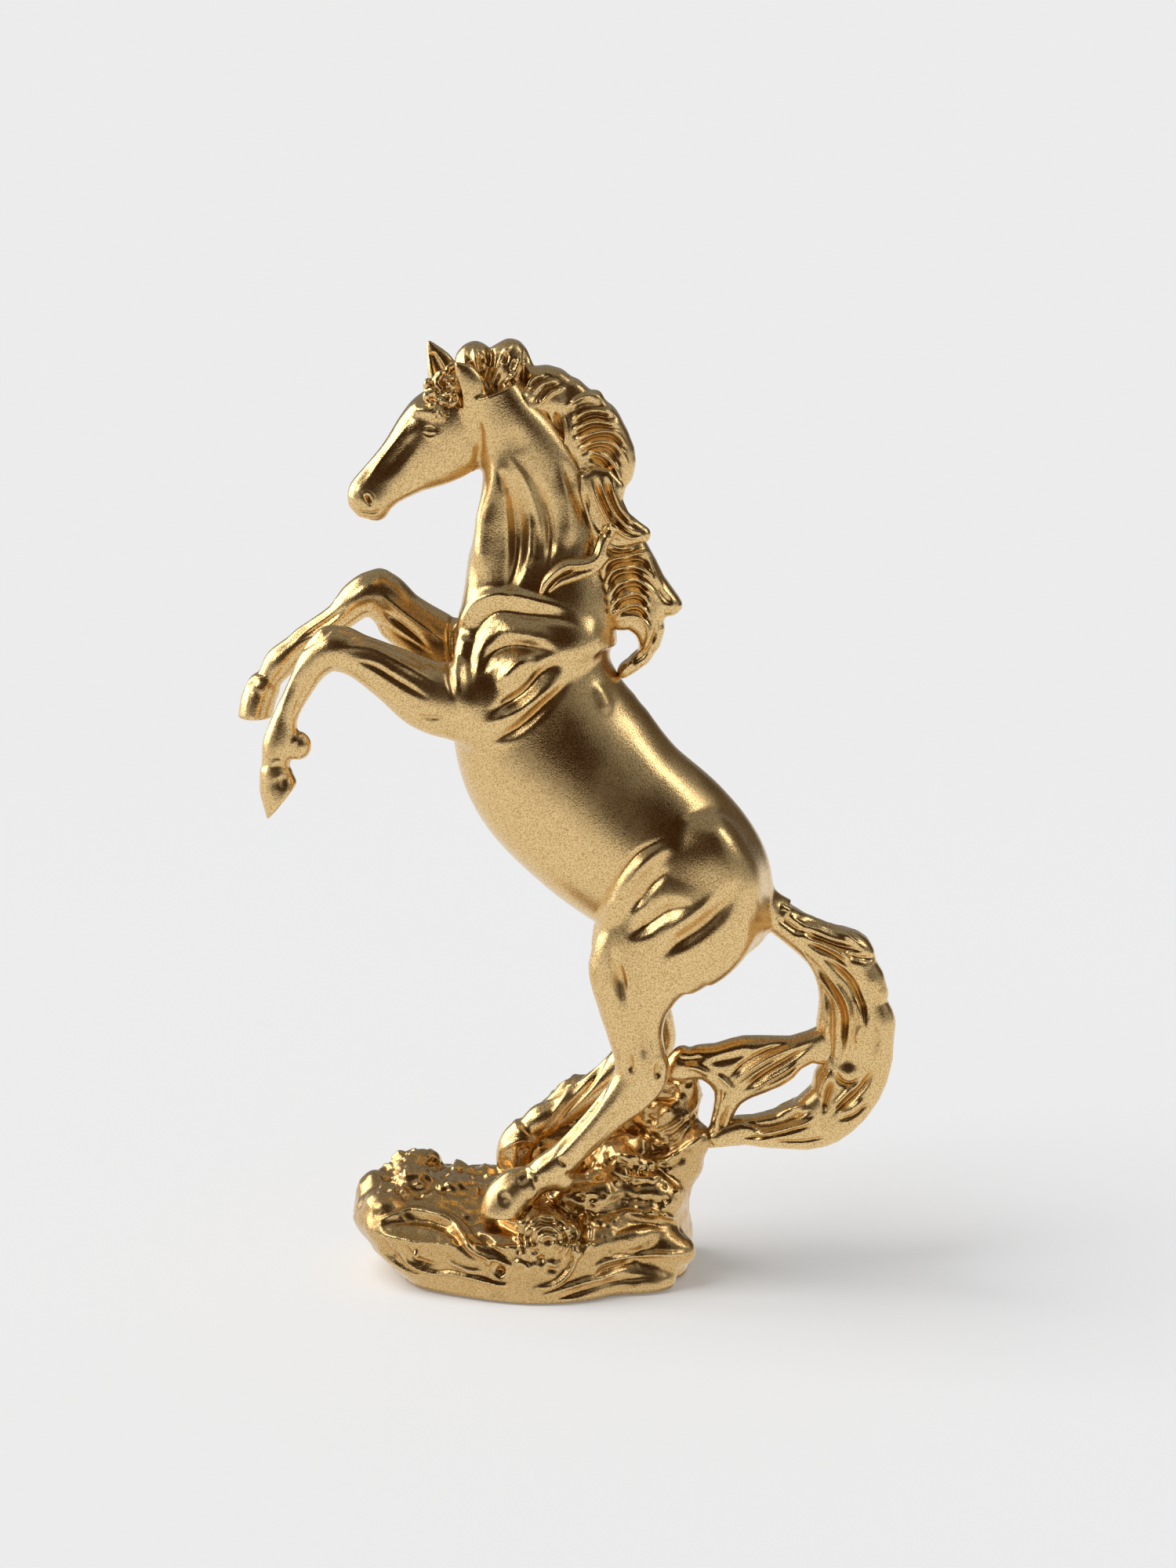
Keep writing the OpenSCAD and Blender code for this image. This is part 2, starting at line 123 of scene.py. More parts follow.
def lump(centre, radii, lean=0.0, turn=0.0):
    """An ellipsoid, leaned in the side view and then turned about Z, both in degrees."""
    rings, sides = 25, 40
    a = np.linspace(0, np.pi, rings)[1:-1, None]
    b = np.linspace(0, 2 * np.pi, sides, endpoint=False)[None, :]
    ball = np.stack([np.sin(a) * np.cos(b), np.sin(a) * np.sin(b), np.cos(a) + 0 * b], -1).reshape(-1, 3)
    verts = np.vstack([ball, [0, 0, 1], [0, 0, -1]]) * radii
    return move(verts, centre, lean, turn), grid_faces(rings - 2, sides)


def slab(outline, low, high):
    """A closed flat body: an outline of [x, z] points, from y low to y high."""
    n = len(outline)
    lid = np.array(tessellate_polygon([[Vector((x, z, 0)) for x, z in outline]]))
    ends = [np.insert(np.array(outline, float), 1, y, axis=1) for y in (low, high)]
    i = np.arange(n)
    j = (i + 1) % n
    walls = np.vstack([np.stack([i, j, j + n], -1), np.stack([i, j + n, i + n], -1)])
    return np.vstack(ends), np.vstack([lid, lid[:, ::-1] + n, walls])


def move(verts, centre, lean=0.0, turn=0.0):
    """The verts leaned in the side view, turned about Z and then moved to centre."""
    t, g = math.radians(lean), math.radians(turn)
    tilt = np.array([[math.cos(t), 0, math.sin(t)], [0, 1, 0], [-math.sin(t), 0, math.cos(t)]])
    spin = np.array([[math.cos(g), -math.sin(g), 0], [math.sin(g), math.cos(g), 0], [0, 0, 1]])
    return verts @ (spin @ tilt).T + np.array(centre)


def mirror(part):
    """The same closed mesh on the other side of the horse."""
    verts, tris = part
    return verts * [1, -1, 1], tris[:, ::-1]


# ---- Clay: a signed distance field on a regular grid ---------------------------------------------

def soft_min(a, b, blend):
    """The smaller of two fields, with the crease between them filled over blend mm."""
    h = np.maximum(blend - np.abs(a - b), 0) / blend
    return np.minimum(a, b) - h * h * blend / 4


def soft_max(a, b, blend):
    """The larger of two fields, with the edge between them rounded off over blend mm."""
    return -soft_min(-a, -b, blend)


class Clay:
    """Joins and cuts closed meshes with soft edges, then gives one closed mesh."""

    def __init__(self, low, high, voxel, band=9):
        self.voxel, self.band = voxel, band
        self.low = np.floor(np.array(low) / voxel).astype(int)
        self.field = np.full(np.ceil(np.array(high) / voxel).astype(int) - self.low, band * voxel, np.float32)

    def _sample(self, part):
        verts, tris = part
        grid = vdb.FloatGrid.createLevelSetFromPolygons(
            np.ascontiguousarray(verts, np.float32), triangles=np.ascontiguousarray(tris, np.uint32),
            transform=vdb.createLinearTransform(voxelSize=self.voxel), halfWidth=self.band)
        lo, hi = (np.array(c) for c in grid.evalActiveVoxelBoundingBox())
        lo = np.maximum(lo, self.low)
        hi = np.minimum(hi + 1, self.low + self.field.shape)
        values = np.empty(hi - lo, np.float32)
        grid.copyToArray(values, ijk=tuple(int(v) for v in lo))
        a, b = lo - self.low, hi - self.low
        return (slice(a[0], b[0]), slice(a[1], b[1]), slice(a[2], b[2])), values

    def add(self, part, blend=1.0):
        where, d = self._sample(part)
        self.field[where] = soft_min(self.field[where], d, blend)

    def cut(self, part, blend=0.6):
        where, d = self._sample(part)
        self.field[where] = soft_max(self.field[where], -d, blend)

    def swell(self, amount):
        self.field -= amount

    def mesh(self):
        grid = vdb.FloatGrid(self.band * self.voxel)
        grid.copyFromArray(self.field, ijk=tuple(int(v) for v in self.low), tolerance=0)
        grid.transform = vdb.createLinearTransform(voxelSize=self.voxel)
        verts, quads = grid.convertToQuads(0.0)
        return np.array(verts, float), np.array(quads, np.int64)


def half_space_cut(clay, point, normal, low, high, blend=0.8):
    """Planes off the clay beyond point along normal, inside the box low..high."""
    a = np.maximum(np.floor(np.array(low) / clay.voxel).astype(int) - clay.low, 0)
    b = np.minimum(np.ceil(np.array(high) / clay.voxel).astype(int) - clay.low, clay.field.shape)
    where = tuple(slice(p, q) for p, q in zip(a, b))
    axes = [(np.arange(p, q) + o) * clay.voxel for p, q, o in zip(a, b, clay.low)]
    n = np.array(normal, float) / np.linalg.norm(normal)
    x, y, z = np.meshgrid(*axes, indexing="ij", sparse=True)
    d = n[0] * (x - point[0]) + n[1] * (y - point[1]) + n[2] * (z - point[2])
    clay.field[where] = soft_max(clay.field[where], d, blend)


# ---- Tooling a mesh ------------------------------------------------------------------------------

def normals(verts, quads):
    """Unit normals of the verts."""
    a, b, c, d = (verts[quads[:, k]] for k in range(4))
    face = np.cross(c - a, d - b)
    out = np.zeros_like(verts)
    for k in range(4):
        for axis in range(3):
            out[:, axis] += np.bincount(quads[:, k], face[:, axis], len(verts))
    return out / np.maximum(np.linalg.norm(out, axis=1), 1e-12)[:, None]


PUSH_BACK = 0.02


def relax(verts, quads, rounds=4, keep=0.52):
    """Taubin smoothing: evens out the voxel steps and keeps the volume."""
    size = len(verts)
    a = np.concatenate([quads[:, k] for k in range(4)])
    b = np.concatenate([quads[:, (k + 1) % 4] for k in range(4)])
    count = np.bincount(a, minlength=size) + np.bincount(b, minlength=size)
    for i in range(2 * rounds):
        total = np.stack([np.bincount(a, verts[b, k], size) + np.bincount(b, verts[a, k], size)
                          for k in range(3)], 1)
        verts = verts + (keep if i % 2 == 0 else -keep - PUSH_BACK) * (total / count[:, None] - verts)
    return verts


def rough(points, scale, seed):
    """Smooth random relief between -1 and 1, with bumps about scale mm across."""
    cells = np.random.default_rng(seed).uniform(-1, 1, (64, 64, 64))
    p = points / scale + 32
    base = np.floor(p).astype(int)
    t = p - base
    t = t * t * (3 - 2 * t)
    total = np.zeros(len(points))
    for corner in range(8):
        bit = np.array([corner & 1, corner >> 1 & 1, corner >> 2 & 1])
        weight = np.prod(np.where(bit, t, 1 - t), axis=1)
        i, j, k = ((base + bit) % 64).T
        total += weight * cells[i, j, k]
    return total


def fade_in(values, start, span):
    """0 up to start, rising to 1 over span."""
    return np.clip((values - start) / span, 0, 1)


def smooth_mesh(clay, rounds=4):
    verts, quads = clay.mesh()
    return relax(verts, quads, rounds), quads


# For each mm nearer to the camera, a stroke goes up by the slope and in towards the camera's axis.
CAMERA_X = 20.4
VIEW_SLOPE = 0.2126
VIEW_SPREAD = 0.00085


def out_to(line, depth):
    """A line drawn on the mid plane, laid where the camera sees it on a surface depth mm nearer."""
    rise, spread = VIEW_SLOPE * depth, 1 - VIEW_SPREAD * depth
    return [(CAMERA_X + (x - CAMERA_X) * spread, z + rise) for x, z in line]


# The step along a stroke, and how many of its half widths it reaches.
STROKE_STEP = 0.8
STROKE_REACH = 2.6
# How far a surface faces the side to take all of a stroke, or any of it.
FACING, EDGE_ON = 0.25, 0.02


class Tool:
    """Strokes on one mesh. Each stroke is a line of [x, z] points, felt from one side of the horse."""

    def __init__(self, verts, quads):
        self.verts, self.quads = verts, quads
        self.normals = normals(verts, quads)
        self.lift = np.zeros(len(verts))

    def stroke(self, line, height, width, side, taper=0.35):
        """Raises (or, below zero, sinks) the surface along the line by height mm."""
        points = smooth_line([[x, 0, z] for x, z in line], STROKE_STEP)[:, [0, 2]]
        reach = STROKE_REACH * width
        (left, low), (right, high) = points.min(0) - reach, points.max(0) + reach
        x, z = self.verts[:, 0], self.verts[:, 2]
        near_line = (x > left) & (x < right) & (z > low) & (z < high)
        idx = np.nonzero(near_line & (self.normals[:, 1] * side > EDGE_ON))[0]
        if not len(idx):
            return
        p = self.verts[idx][:, [0, 2]]
        best = np.full(len(idx), np.inf)
        along = np.zeros(len(idx))
        spans = np.linalg.norm(np.diff(points, axis=0), axis=1)
        marks = np.concatenate([[0], np.cumsum(spans)])
        for i, (a, d) in enumerate(zip(points, np.diff(points, axis=0))):
            t = np.clip(((p - a) @ d) / (d @ d), 0, 1)
            distance = np.linalg.norm(p - a - t[:, None] * d, axis=1)
            near = distance < best
            best[near] = distance[near]
            along[near] = (marks[i] + t[near] * spans[i]) / marks[-1]
        ends = np.clip(np.minimum(along, 1 - along) / taper, 0, 1)
        ends = ends * ends * (3 - 2 * ends)
        amount = height * ends * np.exp(-((best / (width * (0.6 + 0.4 * ends))) ** 2))
        self.lift[idx] += amount * np.clip(np.abs(self.normals[idx, 1]) / FACING, 0, 1)

    def lay(self, strokes, depth, sides=BOTH, taper=0.35):
        """Strokes drawn on the mid plane, laid on a surface depth mm nearer the camera."""
        for line, height, width in strokes:
            for side in sides:
                self.stroke(out_to(line, depth), height, width, side, taper)

    def settle(self):
        """Moves the surface by what the strokes add up to, and gives the mesh."""
        self.verts = self.verts + self.normals * self.lift[:, None]
        self.lift[:] = 0
        self.normals = normals(self.verts, self.quads)
        return self.verts, self.quads


# ---- The horse -----------------------------------------------------------------------------------

TORSO = [
    [4, 0, 233, 18, 11, 0], [4.5, 0, 221, 21, 14, 0], [4.2, 0, 209, 22.5, 17.5, 0],
    [4, 0, 196, 24.5, 20.5, 0.07], [7, 0, 180.5, 29.2, 22.5, 0.15], [13.5, 0, 166.5, 31, 23.8, 0.17],
    [26.5, 0, 151.5, 30, 24, 0.15], [42.5, 0, 138.5, 29, 23.8, 0.08], [56, 0, 125.5, 25.5, 22.6, 0],
    [65.5, 0, 114, 16.5, 17, 0], [69.5, 0, 108, 8, 9, 0],
]
NECK = [
    [-8, -6, 285, 8, 7.6], [-4.5, -4.6, 276, 10.7, 8.8], [0.7, -3, 266, 13.4, 9.4],
    [4, -1.4, 255, 16.3, 9.9], [5.4, 0, 242, 19.4, 11.2], [5, 0, 230, 21.3, 13.2], [5.5, 0, 219, 23, 15.8],
    [5, 0, 207, 24, 18],
]
HEAD = [
    [-6, 1, 283, 7, 5.5, 0.12], [-11, 0.5, 280, 10.2, 7.5, 0.16], [-16.6, -0.5, 275.8, 12.8, 8.6, 0.2],
    [-23.1, -2, 270.8, 14.2, 8.8, 0.2], [-29.3, -3.8, 266, 12.6, 7.7, 0.14], [-36, -5.6, 261, 9.4, 6, 0.05],
    [-42, -7.2, 256.3, 7.6, 5, 0], [-46.8, -8.3, 251.6, 6.9, 5.3, 0], [-49.3, -9, 249.2, 5, 4.2, 0],
    [-50.8, -9.4, 247.8, 2.2, 2.2, 0],
]
LEFT_FORELEG = [
    [-8, -13, 189, 12.5, 8.5], [-19, -14, 189.7, 12, 9.5], [-28.6, -14, 191.9, 11.1, 9],
    [-38.8, -14, 198, 8.8, 8], [-49.6, -14, 203.9, 6.8, 7], [-57, -14, 206.2, 7.2, 7.2],
    [-63.2, -14, 201.8, 5.3, 6], [-68, -14, 193.8, 4, 4.5], [-72.2, -14, 185.5, 3.8, 4.2],
    [-74.3, -14, 176.8, 5.2, 5], [-76, -14, 169.8, 4, 4.5], [-75.6, -14, 167, 4.4, 4.9],
]
RIGHT_FORELEG = [
    [-8, 13, 192, 12.5, 8.5], [-20, 14, 197, 12.3, 9.3], [-30, 14, 205, 9.8, 8.4], [-38, 14, 212, 8, 7.6],
    [-44.7, 14, 218.6, 7.6, 7.3], [-51, 14, 217, 6.3, 6.6], [-57, 14, 211.7, 4.7, 5.3],
    [-64, 14, 207.2, 4, 4.5], [-71, 14, 202, 4, 4.3], [-76, 14, 197, 5, 5], [-79.5, 14, 192, 4.1, 4.5],
    [-81.5, 14, 189, 4.8, 5],
]
HAUNCH = [
    [54.5, 11, 150, 7, 8.6, 0], [57, 13.6, 144, 11.6, 11.4, 0], [57.5, 14.5, 132, 16.8, 11.6, 0],
    [52, 15, 121.5, 21, 11.3, 0.06], [43.5, 14.8, 114, 20, 10.7, 0.06], [37, 14.8, 104.5, 17, 9.6, 0],
    [34.8, 15.2, 94.5, 12, 8.4, 0], [35, 15.6, 86, 9, 7.6, 0], [36.3, 16, 79, 8.1, 7.1, 0],
    [37.2, 16, 72.5, 8.6, 6.8, 0], [33.5, 16, 66, 7.4, 6.3, 0], [27, 16, 59, 5.9, 5.5, 0],
    [20, 16, 51.5, 5.2, 4.9, 0], [13.5, 16, 45, 5, 4.8, 0], [8, 16, 39.8, 5.9, 5.3, 0],
    [3.2, 16, 36.6, 4.8, 4.8, 0], [1, 16, 35, 5.2, 5.2, 0],
]
THROAT_CORD = [
    [-4.5, 6.4, 266, 2, 3], [-5.8, 7.6, 258.6, 3.4, 4.6], [-7, 7.8, 249, 5, 4.9], [-8, 7.6, 238, 5.6, 5.1],
    [-9, 7.4, 226, 6.2, 5.2], [-10, 7.6, 214, 6.8, 5.4],
]
NEAR_FORE_HOOF = [
    [-76, -14, 169, 4.2, 4.6], [-75, -14, 163.5, 5.9, 5.8], [-74.2, -14, 158, 5.6, 6.1],
    [-73.6, -14, 152.4, 4.8, 6],
]
FAR_FORE_HOOF = [
    [-80.3, 14, 190.5, 4.3, 4.7], [-82.6, 14, 186.5, 5.4, 5.6], [-84, 14, 181, 5.4, 6.2],
    [-84.5, 14, 174, 5.4, 6.2],
]
NEAR_HIND_HOOF = [
    [2.5, -16, 36.6, 5.4, 5.3], [-1, -16, 34.2, 6.9, 6.4], [-4, -16, 31, 7.8, 7.2], [-6, -16, 27, 7.6, 7.6],
    [-6.6, -16, 22, 7, 7.6],
]
FAR_HIND_LEG = HAUNCH[:5] + [
    [37.5, 14.8, 104.5, 16.5, 9.6, 0], [36.5, 15.2, 94.5, 11.4, 8.4, 0], [38, 15.6, 86, 8.6, 7.6, 0],
    [40, 16, 79, 8, 7.1, 0], [40, 16, 73, 8.2, 6.8, 0], [35, 16, 67.5, 7, 6.3, 0],
    [28, 16, 61.5, 5.7, 5.4, 0], [20, 16, 55.5, 5.2, 4.9, 0], [12, 16, 50, 5, 4.8, 0],
    [6, 16, 46.5, 5.8, 5.3, 0], [2, 16, 43.5, 4.9, 4.9, 0], [0, 16, 42, 5.2, 5.2, 0],
]
FAR_HIND_HOOF = [
    [1, 15.5, 43, 5.3, 5.2], [-1.6, 15.5, 40, 6, 5.8], [-3, 15.5, 36, 6.2, 6], [-3, 15.5, 30, 6, 6],
]
HOOF_MARGIN = 12
HOOF_BLEND = 2.0
HEAD_ROLL = -4.0


def hoof(clay, stations, point, normal):
    """A hoof on the end of a leg, with its sole planed flat through point."""
    part = Clay(clay.low * clay.voxel, (clay.low + clay.field.shape) * clay.voxel, clay.voxel)
    part.add(loft(stations, 0.7))
    centres = np.array(stations)[:, :3]
    half_space_cut(part, point, normal, centres.min(0) - HOOF_MARGIN, centres.max(0) + HOOF_MARGIN)
    clay.field = soft_min(clay.field, part.field, HOOF_BLEND)


def rolled(part):
    """The horse tips its head a little towards the near side, about the line from poll to nose."""
    verts, tris = part
    poll, cheek, nose = (np.array(HEAD[i][:3]) for i in (1, 3, -1))
    axis = (nose - poll) / np.linalg.norm(nose - poll)
    angle = math.radians(HEAD_ROLL)
    p = verts - cheek
    turned = (p * math.cos(angle) + np.cross(axis, p) * math.sin(angle)
              + np.outer(p @ axis, axis) * (1 - math.cos(angle)))
    return turned + cheek, tris


def build_head(clay):
    clay.add(rolled(loft(HEAD, 0.8, 56, 0.9)), 4)
    for side in BOTH:
        clay.add(rolled(lump((-27.2, -3.2 + 6.5 * side, 272), (2.4, 1.5, 1.4), 30, 13)), 1.6)
        clay.add(rolled(lump((-46.2, -8.2 + 3.2 * side, 251), (3, 1.9, 2.4), 40, 13)), 1.8)
    clay.add(rolled(lump((-44.2, -7.8, 248.2), (3.4, 3.8, 3), 35, 13)), 2)


NEAR_EAR = [
    [-14.4, -7.4, 272, 2.2, 1.4], [-14.6, -7.8, 276.5, 3.6, 2.3], [-15, -8.8, 281.6, 4.6, 2.9],
    [-15.6, -9.8, 286.6, 4.7, 2.8], [-16.8, -10.6, 290, 3.4, 2.2], [-18.6, -11.3, 292.2, 1.5, 1.2],
    [-19.5, -11.6, 293.2, 0.4, 0.4],
]
NEAR_EAR_HOLLOW = [
    [-18.4, -10, 279.4, 0.9, 1.2], [-19.2, -10.8, 284, 1.7, 1.9], [-19.8, -11.6, 288.6, 0.8, 0.9],
]
FAR_EAR = [
    [-21, 5, 280, 5, 2.8], [-23, 6, 286, 5.2, 2.6], [-25, 6.6, 291.5, 4.1, 2.1], [-27.2, 7, 295.7, 2, 1.2],
    [-28.4, 7.1, 298, 0.5, 0.5],
]
FAR_EAR_HOLLOW = [[-23, 3.4, 283, 1.4, 1.2], [-25.2, 4.2, 289.5, 1.9, 1.4], [-27.2, 5.6, 294.5, 0.8, 0.7]]


def build_ears(clay):
    for ear, hollow, blend in ((NEAR_EAR, NEAR_EAR_HOLLOW, 1.4), (FAR_EAR, FAR_EAR_HOLLOW, 1.2)):
        clay.add(loft(ear, 0.6), blend)
        clay.cut(loft(hollow, 0.6), 0.6)


def horse_clay():
    clay = Clay((-94, -32, 20), (88, 32, 304), 0.6)
    clay.add(loft(TORSO, 1.5, 96), 1)
    clay.add(loft(NECK, 1.5, 80, 0.82), 5)
    for side in BOTH:
        for part, blend in (
            (loft(THROAT_CORD), 5),
            (lump((6, 13, 205), (17, 7, 9), -18), 5),
            (lump((-11, 11, 198), (9.5, 8, 14), 0), 5),
            (lump((0, 17, 196), (10, 5.5, 9), -38), 4),
            (lump((-8, 15, 184), (13, 7, 8), -14), 4),
        ):
            clay.add(part if side == FAR else mirror(part), blend)
    clay.add(loft(LEFT_FORELEG, 1, 56), 3.5)
    clay.add(loft(RIGHT_FORELEG, 1, 56), 3.5)
    clay.add(mirror(loft(HAUNCH, 1, 72, 0.92)), 5)
    clay.add(loft(FAR_HIND_LEG, 1, 72, 0.92), 5)
    clay.add(lump((24.5, 0, 121), (3, 4, 4.5)), 2)
    clay.add(loft([[68, 0, 124, 7, 7], [76, 0, 121, 6.3, 6.5], [82, 0, 118.5, 5.6, 6]], 1), 3)
    clay.add(lump((-68.6, -14, 176), (4, 3.6, 4.4)), 1.6)
    clay.add(lump((-44.3, 14, 222.6), (3.6, 5, 4), -20), 1.4)
    clay.add(lump((-58.4, -14, 208.6), (4.6, 5.2, 4.6), 0), 1.4)
    clay.add(lump((12.5, -16, 37), (3.4, 3.4, 4), 40), 1.6)
    hoof(clay, NEAR_FORE_HOOF, (-73.2, 0, 159.2), (0.77, 0, -0.64))
    hoof(clay, FAR_FORE_HOOF, (0, 0, 179.4), (0, 0, -1))
    hoof(clay, NEAR_HIND_HOOF, (0, 0, 26), (0, 0, -1))
    hoof(clay, FAR_HIND_HOOF, (0, 0, 31), (0, 0, -1))
    build_head(clay)
    build_ears(clay)
    return clay


# ---- Strokes on the horse ------------------------------------------------------------------------
# Each stroke is a line of [x, z] points, how far it stands out and its half width.

NECK_STROKES = [
    ([(-11.6, 252), (-12, 241), (-12, 231), (-10, 223)], 1.1, 2.6),
    ([(-8.4, 259), (-4.4, 255), (-2, 249), (-1, 240), (-1.5, 231), (-4, 223), (-6.8, 217.6)], -2.5, 2.3),
    ([(-7, 258.6), (-5.2, 255.4), (-3.6, 250)], -0.8, 1.2), ([(2.4, 247), (3, 238), (1.8, 227)], 1.0, 1.3),
    ([(-4, 271), (-1.6, 267.6), (1, 262.6)], -0.25, 2.6),
    ([(-4.6, 264), (1.4, 254.4), (4.8, 245.4), (6.6, 237), (6, 229)], 1.0, 1.4),
    ([(2.6, 258.4), (6.6, 250.4), (8.8, 242), (8.6, 233), (7, 226)], -1.3, 1.6),
    ([(11.6, 260), (13.4, 250), (13.6, 238), (11, 230)], 0.9, 2.4),
    ([(13, 262), (16, 252), (19, 245), (19.5, 237)], -1.3, 1.8),
]
SHOULDER_STROKES = [
    ([(20, 213), (8, 216.5), (-5, 219), (-13, 217), (-18, 210), (-19.6, 200), (-19.4, 190), (-17, 182)], 1.6,
     1.9),
    ([(20, 208.5), (12, 212), (0, 213.6), (-8, 213.8), (-13.6, 209), (-16, 201), (-16, 192), (-14.6, 186)],
     -1.3, 1.8),
    ([(-12, 206), (-4, 208.4), (6, 207), (12, 204)], 0.7, 2.4),
    ([(-13, 194), (-9, 202), (-1, 204.4), (12, 202)], -1.9, 1.9),
    ([(-8, 191), (-1, 198.6), (5, 201)], 1.9, 2.4),
    ([(-11, 183), (0, 189.5), (7, 196.5), (14, 200)], -2.2, 2.1),
    ([(-14, 179), (-2, 184), (8, 191.5), (15, 198)], 1.5, 2.3),
    ([(-13, 173.5), (-2, 178.6), (8, 187), (16, 194)], -1.7, 1.6),
    ([(-22.6, 210), (-23, 202), (-22.4, 194), (-21, 187)], -1.2, 1.0),
    ([(22, 192), (25, 187), (27, 181)], 0.8, 2.0),
]
THIGH_STROKES = [
    ([(47, 147.6), (42, 146), (36, 142.6), (30.6, 136.6), (27, 130), (23.6, 123), (20.6, 118)], -0.9, 1.0),
    ([(49, 145), (43.5, 143.6), (38, 140), (33.6, 134), (30, 127.5), (26.5, 121), (22.5, 115)], 2.3, 2.6),
    ([(46, 138), (41, 134), (36.6, 128.6), (33, 123)], -1.1, 1.7),
    ([(32, 115), (38, 120), (45, 125), (53, 127.6)], -2.1, 2.5),
    ([(42, 114.6), (48, 120), (55, 125.4), (60, 131)], 0.8, 1.8),
    ([(41, 108), (48, 114.4), (56, 120), (63, 127), (66.6, 135)], -2.2, 2.7),
    ([(27.6, 102), (32.8, 103)], -2.1, 5.4), ([(20, 111), (22, 101), (27, 88)], 0.6, 1.8),
]
HIND_STROKES = [
    ([(29, 79), (24, 70), (16, 59), (7, 46)], 1.0, 0.9),
    ([(28, 70), (21, 59), (13, 49), (9, 43)], -1.3, 0.9), ([(33, 62), (25, 53), (17, 44)], 0.5, 0.9),
    ([(34, 72), (33.5, 80)], -1.2, 1.0), ([(42, 70), (42.5, 77)], -1.2, 1.1),
    ([(38, 76), (37, 90)], -0.6, 1.2), ([(-9, 36), (-2, 40.5), (6, 39)], 0.5, 0.7),
    ([(3, 40), (4, 35), (1.5, 30)], 0.6, 0.6), ([(-8, 31), (-4, 33)], -0.7, 1.8),
    ([(-2, 36.5), (2, 39)], -0.7, 1.2), ([(11, 45), (14, 41.5)], -0.8, 0.8),
    ([(13, 40), (17, 37)], -0.8, 0.8),
]
NEAR_FORE_STROKES = [
    ([(-57, 206.8), (-47, 206.4), (-40, 203.4), (-31, 198.4), (-24, 194.5)], 1.2, 1.1),
    ([(-53, 208.6), (-46, 208.6), (-38, 205.4), (-26, 198.4)], -0.9, 0.6),
    ([(-52, 203), (-45, 201), (-37.6, 196.6), (-27, 190.4)], -1.0, 0.9),
    ([(-33, 186), (-27, 185), (-22.5, 187)], -1.2, 0.9),
    ([(-62, 201), (-67, 192.6), (-71, 182)], -0.9, 0.7), ([(-66, 203), (-71, 194), (-74.5, 183)], 0.6, 0.8),
    ([(-71, 175), (-68, 179), (-65.5, 177)], 0.6, 0.6), ([(-73.6, 167), (-73.4, 162)], -0.7, 1.0),
    ([(-79, 168), (-75, 171), (-71.5, 168)], 0.5, 0.6),
]
FAR_FORE_STROKES = [
    ([(-46, 222), (-38, 215), (-30, 209), (-23, 204)], 0.9, 1.2),
    ([(-44, 215), (-36, 209), (-28, 202)], -1.3, 1.2), ([(-54, 216), (-62, 210), (-71, 204)], -0.9, 0.8),
    ([(-56, 219), (-66, 211.5), (-75, 203)], 0.6, 0.6), ([(-79, 193), (-84, 192.5), (-88, 188)], 0.5, 0.6),
]
TORSO_STROKES = [
    ([(33, 178), (45, 163), (58, 146)], 0.3, 5), ([(68, 128), (73, 121), (71, 110)], -0.6, 2.4),
]
HEAD_STROKES = [
    ([(-29.5, 273.5), (-33, 269.5), (-37.5, 264), (-43.5, 256.6)], -0.55, 2.0),
    ([(-32.5, 277), (-38.5, 269), (-44, 261.4), (-47.6, 255.6)], 0.45, 1.2),
    ([(-29.6, 272.2), (-27.6, 271), (-25.4, 271.8)], -0.4, 0.35),
    ([(-30, 272.6), (-27.8, 273.6), (-25.2, 272.4)], -0.35, 0.35),
    ([(-35.5, 277.6), (-31, 278.6), (-26.4, 278), (-22, 276)], 1.3, 2.0),
    ([(-48, 253), (-46.6, 252.4), (-45.8, 250.8), (-46.2, 249.6)], -1.5, 0.6),
    ([(-48.6, 254), (-45.8, 253.8), (-44.6, 251.6), (-45.4, 249.4)], 0.3, 0.8),
    ([(-50.6, 248.6), (-48, 247.8), (-45, 247.4), (-42, 249)], -0.8, 0.5),
    ([(-13.6, 262), (-12.6, 266), (-12.6, 271), (-12, 276)], -1.3, 1.2),
    ([(-17, 260), (-15.4, 264), (-15.2, 270)], 0.5, 1.4),
    ([(-40, 250.5), (-34, 253.5), (-28, 256)], 0.3, 1.2),
]


NECK_DEPTH = 12
HEAD_BOX = (-56, -20, 238), (10, 20, 304)


def tool_body(tool):
    for strokes, depth in ((NECK_STROKES, NECK_DEPTH), (SHOULDER_STROKES, 19), (THIGH_STROKES, 8),
                           (HIND_STROKES, 5), (TORSO_STROKES, 14)):
        tool.lay(strokes, depth)
    tool.lay([(line, 0.7 * height, 1.1 * width) for line, height, width in NEAR_FORE_STROKES], 5, [NEAR])
    tool.lay(FAR_FORE_STROKES, 0)
    return tool.settle()


def head_skin():
    clay = Clay(*HEAD_BOX, 0.35)
    clay.add(loft(NECK, 1.5, 80, 0.82), 1)
    build_head(clay)
    build_ears(clay)
    tool = Tool(*smooth_mesh(clay))
    tool.lay(HEAD_STROKES, 1)
    tool.lay(NECK_STROKES, NECK_DEPTH)
    return tool.settle()


# ---- Section planes, the same ones that part the CAD castings ------------------------------------

HEAD_CUT = ((-5.5, 0, 273), (-0.829, 0, 0.559))
NECK_CUT = ((4, 0, 211), (0.139, 0, 0.990))
FORELEG_CUT = ((-22, 0, 0), (-1, 0, 0))
THIGH_CUT = ((0, 0, 100), (0, 0, -1))
# The front of the neck's casting, and how near a shared vert has to be to snap to its plane.
NECK_FRONT, SNAP = -21.5, 1.5
TORSO_PART, NECK_PART, HEAD_PART, NEAR_FORE, FAR_FORE, NEAR_HIND, FAR_HIND = range(7)


